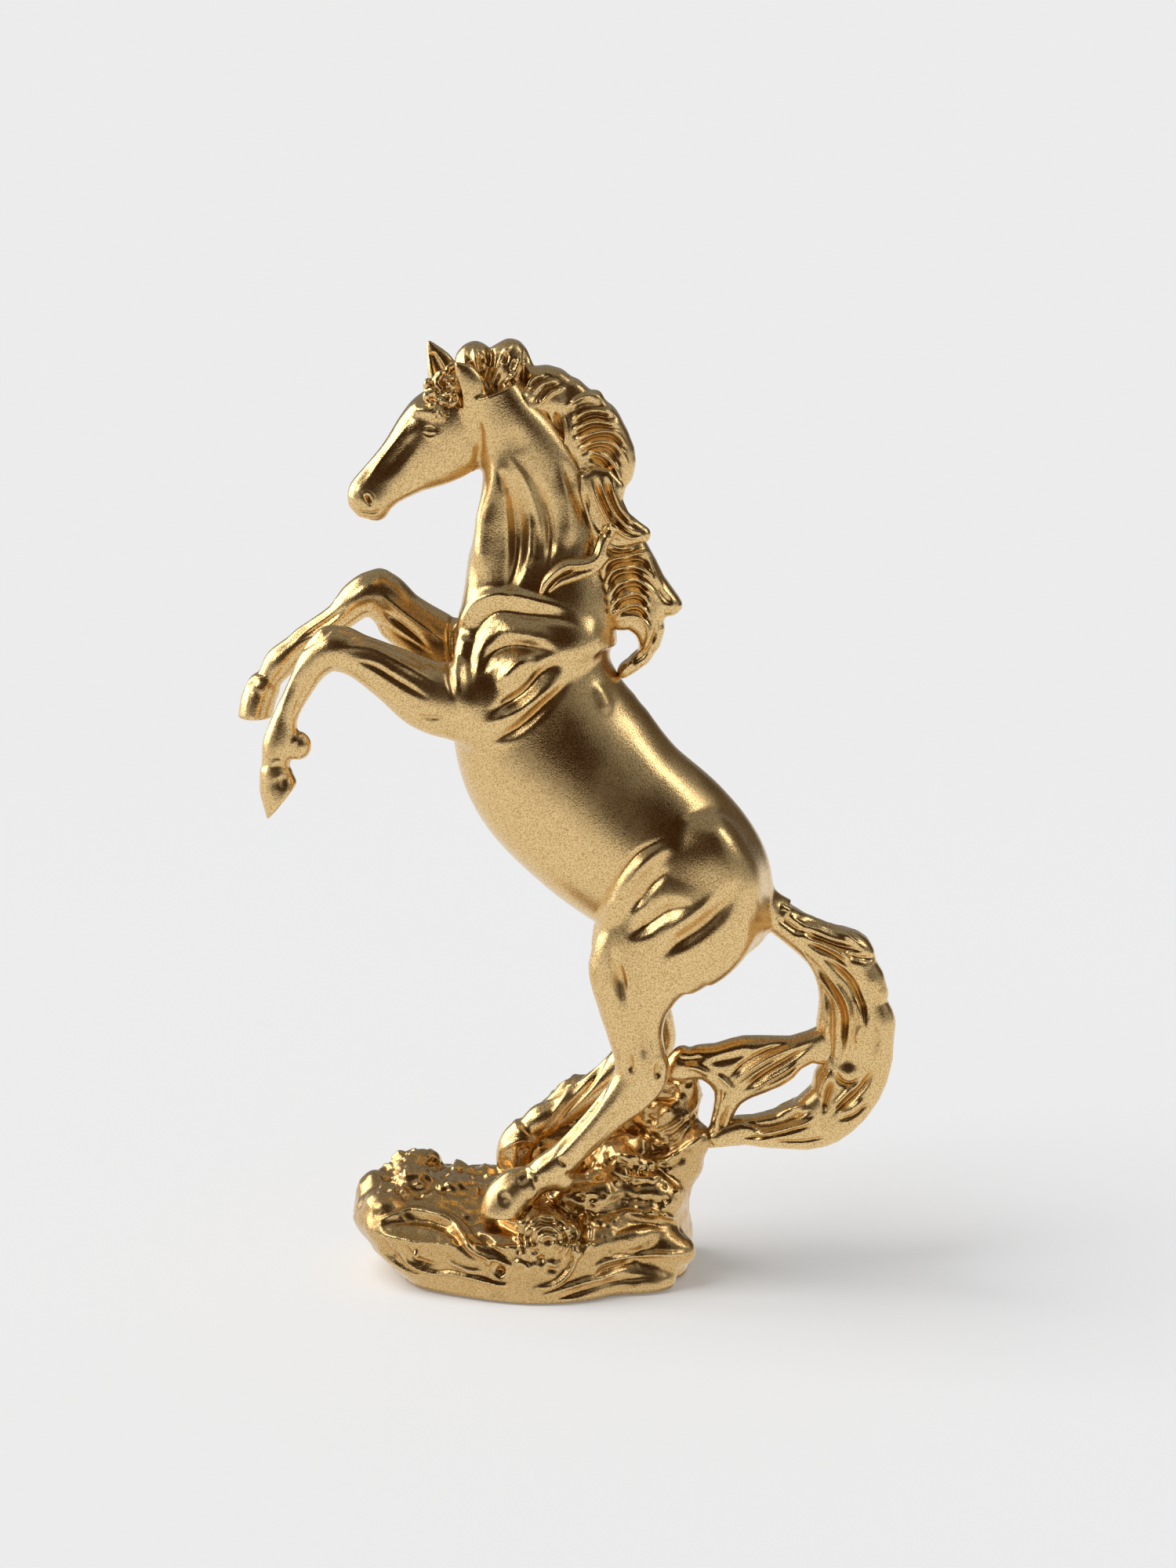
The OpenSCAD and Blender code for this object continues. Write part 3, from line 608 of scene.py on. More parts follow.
def beyond(points, plane):
    """Which points lie past a plane, given as a point on it and its normal."""
    return (points - np.array(plane[0])) @ np.array(plane[1]) > 0


def which_casting(points):
    x, y, z = points.T
    label = np.full(len(points), TORSO_PART)
    label[beyond(points, THIGH_CUT) & (y < 0)] = NEAR_HIND
    label[beyond(points, THIGH_CUT) & (y >= 0)] = FAR_HIND
    label[beyond(points, FORELEG_CUT) & (y < 0)] = NEAR_FORE
    label[beyond(points, FORELEG_CUT) & (y >= 0)] = FAR_FORE
    label[beyond(points, NECK_CUT) & (x > NECK_FRONT)] = NECK_PART
    label[beyond(points, HEAD_CUT) & (z > HEAD_BOX[0][2])] = HEAD_PART
    return label


def snap_to_planes(verts, quads, label):
    """Lays the verts shared by two castings on the plane between them."""
    planes = {THIGH_CUT: (NEAR_HIND, FAR_HIND), FORELEG_CUT: (NEAR_FORE, FAR_FORE), HEAD_CUT: (HEAD_PART,),
              NECK_CUT: (NECK_PART,)}
    out = verts.copy()
    for plane, parts in planes.items():
        inside = np.isin(label, parts)
        rim = np.intersect1d(quads[inside], quads[~inside])
        n = np.array(plane[1]) / np.linalg.norm(plane[1])
        off = (verts[rim] - np.array(plane[0])) @ n
        close = np.abs(off) < SNAP
        out[rim[close]] = verts[rim[close]] - off[close, None] * n
    return out


def close_up(verts, quads):
    """Fans over the open rims. Returns the verts, the fan triangles and the rims' edges."""
    edges = np.concatenate([np.stack([quads[:, k], quads[:, (k + 1) % 4]], 1) for k in range(4)])
    n = len(verts)
    key, back = edges[:, 0] * n + edges[:, 1], edges[:, 1] * n + edges[:, 0]
    rims = edges[~np.isin(key, back)]
    after = {int(a): int(b) for a, b in rims}
    tris = []
    while after:
        start = next(iter(after))
        loop = [start]
        step = after.pop(start)
        while step != start:
            loop.append(step)
            step = after.pop(step)
        centre = len(verts)
        verts = np.vstack([verts, verts[loop].mean(0)])
        tris += [(b, a, centre) for a, b in zip(loop, loop[1:] + loop[:1])]
    return verts, np.array(tris, int).reshape(-1, 3), rims


def take(verts, quads, keep):
    """The kept quads with only their own verts."""
    used, flat = np.unique(quads[keep], return_inverse=True)
    return verts[used], flat.reshape(-1, 4)


# ---- Pieces --------------------------------------------------------------------------------------

def cast(node, verts, quads, material):
    """The gilt casting in place of one CAD node, with any open rim closed and kept as a crisp edge."""
    verts, tris, rims = close_up(verts, quads)
    mesh = bpy.data.meshes.new(node + "_skin")
    mesh.vertices.add(len(verts))
    mesh.vertices.foreach_set("co", (verts * MM).astype(np.float32).ravel())
    mesh.loops.add(quads.size + tris.size)
    mesh.loops.foreach_set("vertex_index", np.concatenate([quads.ravel(), tris.ravel()]).astype(np.int32))
    mesh.polygons.add(len(quads) + len(tris))
    starts = np.concatenate([np.arange(len(quads)) * 4, quads.size + np.arange(len(tris)) * 3])
    mesh.polygons.foreach_set("loop_start", starts.astype(np.int32))
    mesh.polygons.foreach_set("use_smooth", np.ones(len(starts), bool))
    mesh.update(calc_edges=True)
    if len(rims):
        ends = np.empty(len(mesh.edges) * 2, np.int32)
        mesh.edges.foreach_get("vertices", ends)
        step = np.array([len(verts), 1], np.int64)
        keys = [np.sort(pairs.reshape(-1, 2), 1) @ step for pairs in (ends, rims)]
        mesh.edges.foreach_set("use_edge_sharp", np.isin(*keys))
    mesh.materials.append(material)
    piece = bpy.data.objects.new(node + "_skin", mesh)
    bpy.context.scene.collection.objects.link(piece)
    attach(piece, ROOT)
    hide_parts(node)


# ---- Hair and tail: rounded flat bodies, then ridges and hollows combed into both faces ----------

HAIR_VOXEL, HAIR_MARGIN, HAIR_TAPER = 0.5, 3, 0.3
HAIR_BAND = 13


def rounded(outline, half_width, radius, centre_y=0.0):
    """A flat body with the outline of [x, z] points and edges rounded over."""
    (left, bottom), (right, top) = np.min(outline, 0), np.max(outline, 0)
    low = (left - HAIR_MARGIN, centre_y - half_width - HAIR_MARGIN, bottom - HAIR_MARGIN)
    high = (right + HAIR_MARGIN, centre_y + half_width + HAIR_MARGIN, top + HAIR_MARGIN)
    part = slab(outline, centre_y - half_width, centre_y + half_width)
    for offset in (-radius, radius):
        block = Clay(low, high, HAIR_VOXEL, HAIR_BAND)
        block.add(part, 0.01)
        block.swell(offset)
        verts, quads = block.mesh()
        part = verts, np.vstack([quads[:, :3], quads[:, [0, 2, 3]]])
    return part


def combed(clay, strokes, depth, sides=BOTH):
    """A tool on the smoothed clay, with the strokes laid on it."""
    tool = Tool(*smooth_mesh(clay, 3))
    tool.lay(strokes, depth, sides, HAIR_TAPER)
    return tool


def pillow(clay, outline, half_width, radius, centre_y=0.0):
    """Layers of the same outline, thick ones with rounder edges, so that narrow tips stay thin but whole."""
    for share, edge in ((0.45, 1.2), (0.75, 0.5 * radius), (1, radius)):
        clay.add(rounded(outline, share * half_width, min(edge, 0.7 * share * half_width), centre_y), 1.6)


CREST_OUTLINE = [
    (-19.5, 291), (-19.3, 294.5), (-17, 297), (-14, 298.3), (-11.5, 297.2), (-9.5, 295.8), (-7.5, 297),
    (-4, 299), (-1, 298.4), (1.2, 296), (2.6, 292.5), (3.6, 290.4), (8, 290.8), (12, 289.6), (15, 287),
    (17, 286.2), (20, 283.5), (25, 280), (29, 276), (32, 271), (34, 266), (34.5, 262), (33.5, 257),
    (31.4, 254.4), (30.6, 251), (30.5, 247), (27, 243), (23, 244), (20, 246), (18.5, 252), (16, 258),
    (14.8, 262), (12, 263), (9.5, 265), (8.3, 270), (7.5, 274), (4, 274), (0, 275), (-5, 276), (-9.6, 275),
    (-11.6, 280), (-14, 284), (-18, 287),
]
CREST_STROKES = [
    ([(-10, 297), (-9.6, 291), (-11.4, 285), (-12.6, 280)], -2.0, 1.2),
    ([(1.6, 297), (2.2, 291), (0.5, 285), (-3, 282)], -2.0, 1.2),
    ([(-4, 288), (-1.6, 282), (2.4, 276.6)], -1.2, 0.8), ([(-7, 284), (-4, 279.6), (-1, 276)], -1.0, 0.7),
    ([(-17.5, 294), (-16, 288), (-12, 281.5)], 1.0, 0.7),
    ([(-14.5, 297), (-13.5, 289), (-12.4, 282)], 1.2, 0.7),
    ([(-8.4, 287), (-10, 281), (-10, 277)], 1.0, 0.6), ([(-6.4, 285), (-8.2, 280.6), (-9, 277)], -0.9, 0.6),
    ([(-15.8, 292), (-14, 286)], -1.0, 0.8), ([(-12, 294), (-11.8, 288)], -1.0, 0.7),
    ([(-2, 297.5), (-5.5, 293), (-7, 288), (-9.5, 283.5)], 1.2, 0.7),
    ([(0.4, 295), (-1.5, 290), (-4, 285.5), (-8, 282.5)], 1.2, 0.7),
    ([(-4.5, 294.5), (-5.6, 290.5)], -1.6, 0.9), ([(-1.2, 292.5), (-3, 287.5)], -1.2, 0.8),
    ([(-7.5, 294), (-8.4, 288)], 0.8, 0.7), ([(1, 283.5), (4, 286.5), (8, 287)], 1.0, 0.6),
    ([(2, 280.5), (6, 284.5), (12, 285.4)], 1.1, 0.6), ([(5, 277.5), (9, 282), (14, 283.3)], 1.1, 0.6),
    ([(2, 282.2), (6, 286), (10, 286.4)], -0.9, 0.8), ([(4, 279), (8, 283.4), (13, 284.4)], -1.0, 0.8),
    ([(8, 277), (10.8, 271), (12, 264)], 1.1, 0.6), ([(12, 277), (13.6, 270), (12.6, 263.6)], 1.1, 0.6),
    ([(10.2, 277), (12, 270.6), (12, 266)], -1.2, 0.9), ([(13, 277.5), (19, 280.5), (27, 278.8)], 1.2, 0.7),
    ([(14.4, 275), (20, 278.2), (28, 277.2)], -1.2, 0.9), ([(15, 273), (21, 276.6), (29, 275.4)], 1.2, 0.6),
    ([(15, 271.6), (22, 275), (30, 273.4)], -1.2, 0.8), ([(15, 270), (22, 273.4), (30.5, 271.6)], 1.2, 0.6),
    ([(15, 268.4), (22, 271.8), (29, 271)], -1.3, 0.8),
    ([(15, 266.5), (22, 270), (28, 270), (33, 264.6)], 1.2, 0.6),
    ([(16, 265), (22.4, 268.6), (28.4, 268.2), (32, 263.6)], -1.3, 0.8),
    ([(16, 263.4), (22, 267.2), (27.6, 266.8), (31.6, 262), (32.6, 256)], 1.2, 0.6),
    ([(17, 262.4), (22.6, 265.4), (27.4, 264.6), (30.6, 259.4)], -1.3, 0.8),
    ([(18, 264), (23, 264), (27.6, 261), (30, 256), (29.6, 250)], 1.2, 0.6),
    ([(20, 262.4), (24.4, 261.6), (28, 257.6)], -1.3, 0.8),
    ([(20, 261), (25, 259), (27.5, 255), (28, 251)], 1.1, 0.6), ([(19.5, 257.5), (19.4, 253.5)], -2.2, 1.5),
    ([(21.2, 252), (20.6, 248)], -2.0, 1.3),
    ([(17.4, 259), (21.5, 256), (23.6, 250.5), (23, 246)], 1.3, 0.7),
    ([(23, 257), (25.4, 252.5), (25.6, 247)], -1.4, 0.9), ([(25, 258), (27.4, 252), (27.6, 246)], 0.8, 0.6),
    ([(6, 289), (12, 287.6), (20, 282.4), (27, 276), (31.4, 268), (32.6, 260)], 0.5, 1.8),
]
SIDE_LOCK_OUTLINE = [
    (18, 257), (22, 259.5), (27, 258.5), (31, 254), (30.6, 249), (32.4, 245), (36, 242), (39.4, 239.6),
    (38.8, 237), (33, 235.6), (28, 234), (24, 234.6), (21.6, 239), (19.6, 246), (17.6, 252),
]
SIDE_LOCK_STROKES = [
    ([(21, 256), (23.4, 249), (27.4, 241.6), (33, 237.6), (38, 237.8)], 1.2, 0.7),
    ([(24, 257), (26, 250), (29.4, 243.6), (34, 239.6), (38, 239)], 1.1, 0.6),
    ([(27.6, 256), (28.6, 250), (31, 245), (35.6, 240.8)], 1.1, 0.6),
    ([(22.4, 256.6), (24.6, 249.6), (28.4, 242.6), (33.4, 238.6)], -1.3, 0.8),
    ([(25.8, 256.6), (27.4, 250), (30.2, 244.6), (34.6, 240.4)], -1.3, 0.8),
    ([(19, 254), (20.6, 247), (24, 240), (28.6, 236)], -1.0, 0.8),
    ([(20, 250), (22, 243.6), (25.6, 238.4), (30, 236)], 0.7, 0.6),
]
FORWARD_LOCK = [
    [28, -9, 243, 1.6, 1.6], [25, -10.5, 238.5, 1.9, 1.7], [23, -12, 233.8, 2, 1.8],
    [19, -13, 232.2, 2, 1.8], [14, -14.2, 232, 1.9, 1.7], [10.4, -15, 230, 1.7, 1.5],
    [7.6, -15.6, 227, 1.3, 1.2], [6, -16, 223.4, 0.6, 0.6],
]
FORWARD_TWIN = [
    [26, -10.5, 234.5, 1.3, 1.3], [22, -12.4, 230.6, 1.5, 1.4], [17, -13.6, 228.8, 1.5, 1.4],
    [12, -14.8, 227, 1.2, 1.2], [8.4, -15.6, 224, 0.5, 0.6],
]
LOWER_OUTLINE = [
    (23, 249), (21.5, 240), (22.4, 234), (23.6, 228), (26, 223), (26.4, 216), (27.6, 211.6), (30, 210.2),
    (33, 210.6), (35.6, 208.6), (36.6, 206), (36.3, 203), (34.6, 200.8), (32.6, 200.2), (30.6, 198.6),
    (28.6, 195), (26.8, 191.8), (28, 190.4), (31, 194.6), (35, 197), (39, 200), (42, 204.8), (43.6, 210),
    (43.2, 213), (44.2, 214.8), (47, 215), (49.7, 217.3), (47, 221), (43.4, 226), (41, 231), (38.4, 235.6),
    (36, 240), (32.5, 244), (30, 249),
]
LOWER_CORE = [(20, 249), (21, 235), (24, 224), (26, 214), (32, 214), (34, 226), (32, 240), (29, 249)]
LOWER_STROKES = [
    ([(24, 226), (27, 231), (33, 232.5), (38, 232.8), (40.2, 228), (43, 222.4), (47, 217.8)], 1.2, 0.6),
    ([(24.6, 224), (28, 229.6), (33.5, 230.8), (38, 230), (41, 224.6)], -1.3, 0.8),
    ([(25, 222), (28, 228), (34, 229), (39, 227), (42.4, 221)], 1.2, 0.6),
    ([(25.8, 220.4), (29, 226), (34.6, 227), (39, 224.4)], -1.3, 0.8),
    ([(26.5, 219), (30, 224), (35, 225), (39.6, 222), (43, 217.6)], 1.2, 0.6),
    ([(26.8, 217.4), (30.6, 222), (35.6, 222.8), (39.4, 219.4)], -1.3, 0.8),
    ([(27, 216), (31, 220), (36, 220.5), (40, 216.6)], 1.2, 0.6),
    ([(27.2, 214.6), (31, 218.2), (36, 218.8), (39.6, 215)], -1.3, 0.8),
    ([(27, 213), (31, 216.5), (36, 217), (40, 212.6)], 1.2, 0.6),
    ([(28.6, 212), (32, 215), (36.6, 215.2), (39.4, 210.6)], -1.2, 0.8),
    ([(29.6, 211.8), (33, 213.5), (37.4, 212.6), (39.2, 208), (37.6, 202.6), (34, 198.8), (30.6, 195), (28,
     191.4)], 0.9, 0.6),
    ([(41.4, 213), (41, 207.4), (38, 202), (34, 198)], -0.9, 0.7),
    ([(25, 244), (28, 238), (33.6, 235.4)], -1.3, 0.9), ([(24, 240), (28.4, 235.6), (35, 234.6)], 1.1, 0.6),
    ([(23.6, 236), (28.6, 233.6), (35, 233.6)], -1.1, 0.8),
    ([(42, 224), (44, 219.6), (46.4, 217)], -0.9, 0.8),
]


def mane_crest():
    clay = Clay((-26, -14, 236), (42, 14, 304), 0.4)
    pillow(clay, CREST_OUTLINE, 6.8, 4)
    clay.add(lump((-14, 0, 291), (5.6, 6.8, 7)), 1.2)
    clay.add(lump((-3.6, 0, 290), (5.8, 8.2, 8.2)), 1.2)
    for side in BOTH:
        clay.add(lump((-0.6, -1.5 + 6 * side, 281), (6.6, 4.4, 4.8), 42), 1.6)
        clay.add(lump((7, 5 * side, 282), (8, 4, 5), 25), 2)
        clay.add(lump((21, 4 * side, 272), (9, 4.4, 9), 20), 2)
    return combed(clay, CREST_STROKES, 8).settle()


def mane_side_lock():
    clay = Clay((0, -22, 216), (44, -1, 266), 0.4)
    pillow(clay, out_to(SIDE_LOCK_OUTLINE, 8), 2.6, 2.2, -6.5)
    clay.add(loft(FORWARD_LOCK, 0.6, 40), 1)
    clay.add(loft(FORWARD_TWIN, 0.6, 40), 0.8)
    tool = combed(clay, SIDE_LOCK_STROKES, 11, [NEAR])
    tool.stroke([(x, z) for x, y, z, *size in FORWARD_LOCK], 0.5, 0.5, NEAR)
    return tool.settle()


def mane_lower_lock():
    clay = Clay((16, -14, 186), (54, 14, 254), 0.4)
    pillow(clay, LOWER_OUTLINE, 6.2, 3)
    clay.add(rounded(LOWER_CORE, 8.5, 3), 3)
    return combed(clay, LOWER_STROKES, 7).settle()


def curl(centre, radius, start, sweep, rise, thick):
    """Loft stations round part of a circle in the side view, as one curl of a lock."""
    out = []
    for t in np.linspace(0, 1, 9):
        a = math.radians(start + sweep * t)
        r = radius * (1 - 0.45 * t)
        size = thick * (0.35 + 0.65 * math.sin(math.pi * min(0.93, 0.2 + 0.75 * t)))
        x, z = centre[0] + r * math.cos(a), centre[2] + r * math.sin(a)
        out.append([x, centre[1] + rise * t, z, size, size])
    return out


FORELOCK = [
    [-15, 0, 291, 3.4, 4], [-19, -1.5, 289, 3.6, 4], [-23, -4.6, 285.5, 3.4, 3.6],
    [-23.2, -8.4, 280.5, 2.6, 2.4], [-22.4, -10.2, 276.4, 1.2, 1.2],
]
FORELOCK_PARTINGS = [
    ([(-24, 286.6), (-22, 283)], -1.6, 0.8), ([(-24, 280), (-22, 276.6)], -1.6, 0.8),
    ([(-20.4, 284), (-19.6, 280)], -1.6, 0.8),
]
CURLS = [
    # centre, radius, start, sweep, how far it comes out, thickness
    ((-23.4, -6, 287), 2.5, 60, 300, -3.0, 1.2), ((-27.2, -6, 285.4), 1.6, 20, 330, -2.0, 1.2),
    ((-21.8, -9.6, 282), 2.2, 110, -260, -2.0, 1.1), ((-20.6, -4, 289.6), 2.2, -30, 220, -2.6, 1.2),
    ((-25.4, -10.2, 279), 1.9, 90, 250, -1.6, 1.1), ((-24, -11, 275.8), 1.7, 200, -240, -1.4, 1.0),
    ((-27.2, -9, 282.2), 1.8, 10, 250, -1.8, 1.1), ((-21.4, -9.2, 285.4), 1.6, -60, 240, -1.8, 1.0),
]


def forelock():
    clay = Clay((-34, -16, 270), (-10, 6, 298), 0.35)
    clay.add(loft(FORELOCK, 0.6), 1)
    clay.add(lump((-27.2, -5.2, 284.9), (2.2, 2.2, 2.2)), 0.8)
    for c in CURLS:
        clay.add(loft(curl(*c), 0.4, 20), 0.4)
    tool = Tool(*smooth_mesh(clay, 2))
    tool.lift += 0.6 * rough(tool.verts, 1.5, 21)
    tool.lay(FORELOCK_PARTINGS, 7, [NEAR])
    return tool.settle()


PLUME_OUTLINE = [
    (72, 126), (76, 125.4), (80, 124), (83, 122), (88, 119), (95, 116), (100, 114.5), (105, 113),
    (108, 111), (109.8, 108), (110.6, 104), (113, 100), (114, 96), (114.7, 94), (114, 91.6), (116, 88),
    (117, 85), (116.6, 80), (116.2, 72), (114.6, 65), (112, 59), (108, 53), (104, 49), (100, 46),
    (96, 44.2), (90, 43), (77, 43.8), (70, 44.4), (62, 43.6), (57.5, 44), (57.5, 47), (62, 50.6),
    (68, 52.6), (73, 52.8), (80, 54), (85, 56.4), (89, 60), (92, 63), (92.6, 67), (94.6, 70.4), (95.6, 75),
    (94.4, 79), (93, 83), (93.7, 87), (94, 92), (93.5, 96), (92, 100.6), (90, 104), (87, 107), (83, 110.4),
    (78, 114.4), (72, 117),
]
PLUME_STROKES = [
    ([(80, 122.5), (82.5, 120.8), (85, 119.6)], 0.8, 0.8),
    ([(79.5, 120), (84.6, 115.6), (88.6, 112.6)], -1.8, 1.4),
    ([(84, 119), (89, 117.2), (95, 115.4), (103, 111.6)], -1.2, 0.9),
    ([(88, 117.4), (95, 115), (101, 112.4), (107, 109)], 1.0, 0.6),
    ([(86, 115.4), (93, 111.6), (98, 109.6), (104, 108.2), (109, 106.6)], -1.8, 1.2),
    ([(90, 111.4), (94.4, 110), (99, 107.8), (104, 104)], 1.3, 0.7),
    ([(88, 111), (93, 108.6), (98, 106), (103, 102)], -1.3, 0.9),
    ([(101, 106.8), (105, 105.6), (111, 104.6)], -1.5, 1.2),
    ([(93, 106), (97, 104), (100.3, 101.2), (103.6, 97.6), (106, 92.6), (107.8, 87.6), (107.4, 81)], -1.9,
     1.0),
    ([(104.6, 94), (106, 88.6), (106.8, 84.4), (105.6, 80), (106.4, 75)], 1.2, 0.8),
    ([(88, 107.6), (93, 100.8), (96.2, 96.8), (99.8, 92), (101.6, 87), (101.4, 80), (100.8, 74)], -2.0, 0.9),
    ([(97.4, 98.6), (101, 93), (103, 87), (103, 80), (101.6, 73.6), (100, 71)], 1.3, 0.7),
    ([(94, 98.6), (97.4, 94), (99.8, 88.6), (100, 80.6)], 0.8, 0.6),
    ([(93, 97.6), (96.4, 91), (97.6, 84), (97.4, 74), (98.4, 70)], -1.5, 0.9),
    ([(95.2, 93), (96, 86), (95.6, 78)], 0.5, 0.8),
    ([(110, 98), (111.4, 90), (111.6, 80), (110.6, 72)], -0.5, 1.6),
    ([(98.6, 69.4), (100.4, 65.4), (104, 64.4), (107.4, 67)], -1.5, 0.7),
    ([(111.2, 71), (109, 66), (105.6, 61.4), (101, 57), (97.3, 53.4)], -1.7, 1.0),
    ([(104.6, 64), (101, 60), (97.6, 56.2)], 1.1, 0.8),
    ([(97.4, 69), (95.4, 63.4), (94.4, 58.4)], 1.4, 0.8), ([(98.4, 66), (96.4, 60.4), (95, 54)], -1.8, 0.8),
    ([(111, 59), (105, 54), (99, 52.4)], -1.0, 0.7), ([(108.6, 60), (103.6, 56), (98, 54.6)], 0.8, 0.6),
    ([(93.4, 53.8), (88.8, 51.4), (81.3, 48.8), (72, 47.2)], 1.5, 0.8),
    ([(92.4, 51.2), (85, 49.2), (76, 46.8), (68, 46)], -1.3, 0.7),
    ([(92, 55.6), (86, 53.6), (79, 51.2), (69, 50.4)], -1.4, 0.8),
    ([(90.4, 57.6), (84, 54.8), (76, 52.6)], 0.8, 0.6), ([(99, 47.6), (88, 45.4), (76, 45.4)], -0.8, 0.7),
]
STRAND_OUTLINE = [
    (99, 80), (95, 84), (92.4, 81.6), (89.7, 80.4), (84.5, 78.8), (76.6, 79), (70, 79), (65.7, 78),
    (60.8, 76.4), (55.4, 76), (52.6, 75), (50.5, 76), (48.4, 75), (45, 71), (45, 66), (50, 65.6),
    (54, 66.4), (57, 66), (59.5, 64), (61, 61.6), (61.2, 58), (60.2, 54), (59.4, 50), (57.4, 46), (58, 43),
    (62.6, 43.6), (64.6, 48), (65.6, 51.5), (66.9, 55.6), (68.7, 58.1), (71.7, 60), (76.6, 61.9),
    (82, 64.3), (85.2, 66.6), (87.7, 69.6), (91.2, 71.6), (94.5, 71), (99, 72),
]
STRAND_STROKES = [
    ([(68.4, 61), (76.6, 67.6), (85.2, 73), (92.4, 78)], -1.5, 0.9),
    ([(65.6, 63.6), (71.2, 68.6), (79.2, 73.5), (88, 76.8)], 1.2, 0.7),
    ([(64, 65.6), (70, 71), (78, 75.6), (86, 77.6)], -1.2, 0.9),
    ([(70.6, 61), (80.4, 66.6), (88.6, 72)], 1.1, 0.6), ([(74, 62.4), (82, 66.6), (89, 71.4)], -1.0, 0.6),
    ([(67, 62.6), (74, 68.2), (82, 73)], 0.8, 0.5), ([(64.6, 63), (62.6, 56), (60.6, 48)], 1.1, 0.6),
    ([(66, 59), (63.8, 52.6), (62, 46.6)], -1.2, 0.6), ([(62.6, 64), (61.6, 56), (60, 50)], -0.8, 0.5),
    ([(61, 67.6), (64.6, 64.4), (67.6, 61)], 0.8, 0.8), ([(58, 71), (66, 72.6), (74, 74.6)], -0.8, 1.4),
    ([(50, 70), (55, 69.4), (60, 66.6)], 1.0, 1.0), ([(47, 73), (52, 72), (58, 73)], -0.8, 1.2),
]


def tail_plume():
    clay = Clay((54, -12, 38), (122, 12, 130), 0.45)
    pillow(clay, PLUME_OUTLINE, 6.8, 4.6)
    clay.add(lump((102.4, 0, 69), (4, 8, 4.4)), 2)
    clay.add(lump((106, 0, 84), (6, 7.6, 16)), 2.5)
    return combed(clay, PLUME_STROKES, 6).settle()


def tail_strand():
    clay = Clay((40, -12, 38), (104, 12, 90), 0.45)
    pillow(clay, STRAND_OUTLINE, 4.8, 3.2, -0.5)
    return combed(clay, STRAND_STROKES, 5).settle()


# ---- The rock ------------------------------------------------------------------------------------

FOOT_OUTLINE = [
    (-37, -8), (-30, -17), (-12, -26), (5, -29.5), (22, -26), (38, -14), (50, -5), (53, 8), (54, 22),
    (50, 29), (20, 31), (-20, 31), (-34, 27), (-39, 18), (-39, 4),
]
BROW_OUTLINE = [
    (-52, -4), (-46, -15), (-36, -21), (-20, -25), (-4, -27), (10, -28), (24, -24), (38, -15), (48, -8),
    (53, 6), (53, 20), (49, 29), (24, 31.5), (0, 31.5), (-26, 31), (-44, 27), (-52, 18), (-54, 6),
]
MOUND_LEVELS = [
    # height, how far from the foot's outline to the brow's, scale
    (0.3, 0, 1), (1.5, 0.05, 1), (5, 0.35, 1), (9, 0.62, 1), (14, 0.86, 1), (19, 1, 1), (22.5, 1, 0.96),
    (25, 1, 0.85),
]
# The brow rises to the back by this slope, above this height.
BACK_RISE, TILTED_ABOVE = 0.16, 20
ROCK_BOX = (-60, -34, 0), (66, 36, 76)
# The rock is planed off at its foot, and no roughness goes below the lowest level.
ROCK_FOOT, LOWEST = 0.6, 0.4
SWIRL_CENTRE, SWIRL_RADII = (7.6, 18.6), (2.4, 4.4, 6.4, 8.4)
ROCKS = [
    # centre, radii, lean
    ((-42, 2, 21), (11.5, 17, 8), 0), ((-24, 4, 22), (18, 20, 8), 4), ((0, 4, 23), (22, 20, 8), 0),
    ((26, -2, 19), (22, 20, 9), 0), ((-38, 15, 27.3), (7.5, 7, 8.5), 20),
    ((-33, 18, 29.6), (6.5, 6, 6.5), 0), ((-47.5, 10, 23.3), (6, 9, 8), -10),
    ((-21, 15, 27.3), (4.5, 4.5, 6), 10), ((-13, 16, 25.5), (4.5, 4.5, 6), -15),
    ((-28, 12, 24.9), (6, 6, 6), 0), ((-44, -6, 26), (6, 6, 4.5), 0), ((-35, 4, 30), (6, 6, 5), 0),
    ((-22, 4, 28), (8, 8, 4), 0), ((-2, 19, 30.4), (6, 7.5, 9), 15), ((2.5, 21, 37), (6, 7, 8), 20),
    ((8, 21, 44), (7, 7, 8.5), 30), ((14, 21, 50.5), (6.5, 6.5, 9), 35),
    ((20, 20, 52.2), (6.5, 6.5, 8), 20), ((14, 19, 35.4), (14, 9, 14), 0), ((28, 16, 38), (13, 11, 14), 0),
    ((38, 4, 27), (15, 18, 11), 0), ((44, 10, 31.3), (11, 12, 12), 0), ((32, 0, 36), (11, 10, 10), 0),
    ((50, 3, 38), (7.5, 8, 8.5), 0), ((47, 5, 50), (8, 8, 12), 15), ((55, 0, 45), (5, 6, 6), 20),
    ((46, 9, 57.5), (6, 7, 9), 0), ((40, 6, 56), (7, 7, 8), 30), ((52, 5, 62), (4.5, 5.5, 8), -10),
    ((24, -8, 30), (8, 8, 7), 0), ((8, -22, 20), (8, 6.5, 8.5), 0), ((2, -16, 24), (8, 7, 4), 0),
    ((43, -9, 12), (12, 8, 7), 0), ((16, -8, 30), (7, 7, 6), 0), ((33, -12.5, 3), (15, 8.5, 7), 0),
]
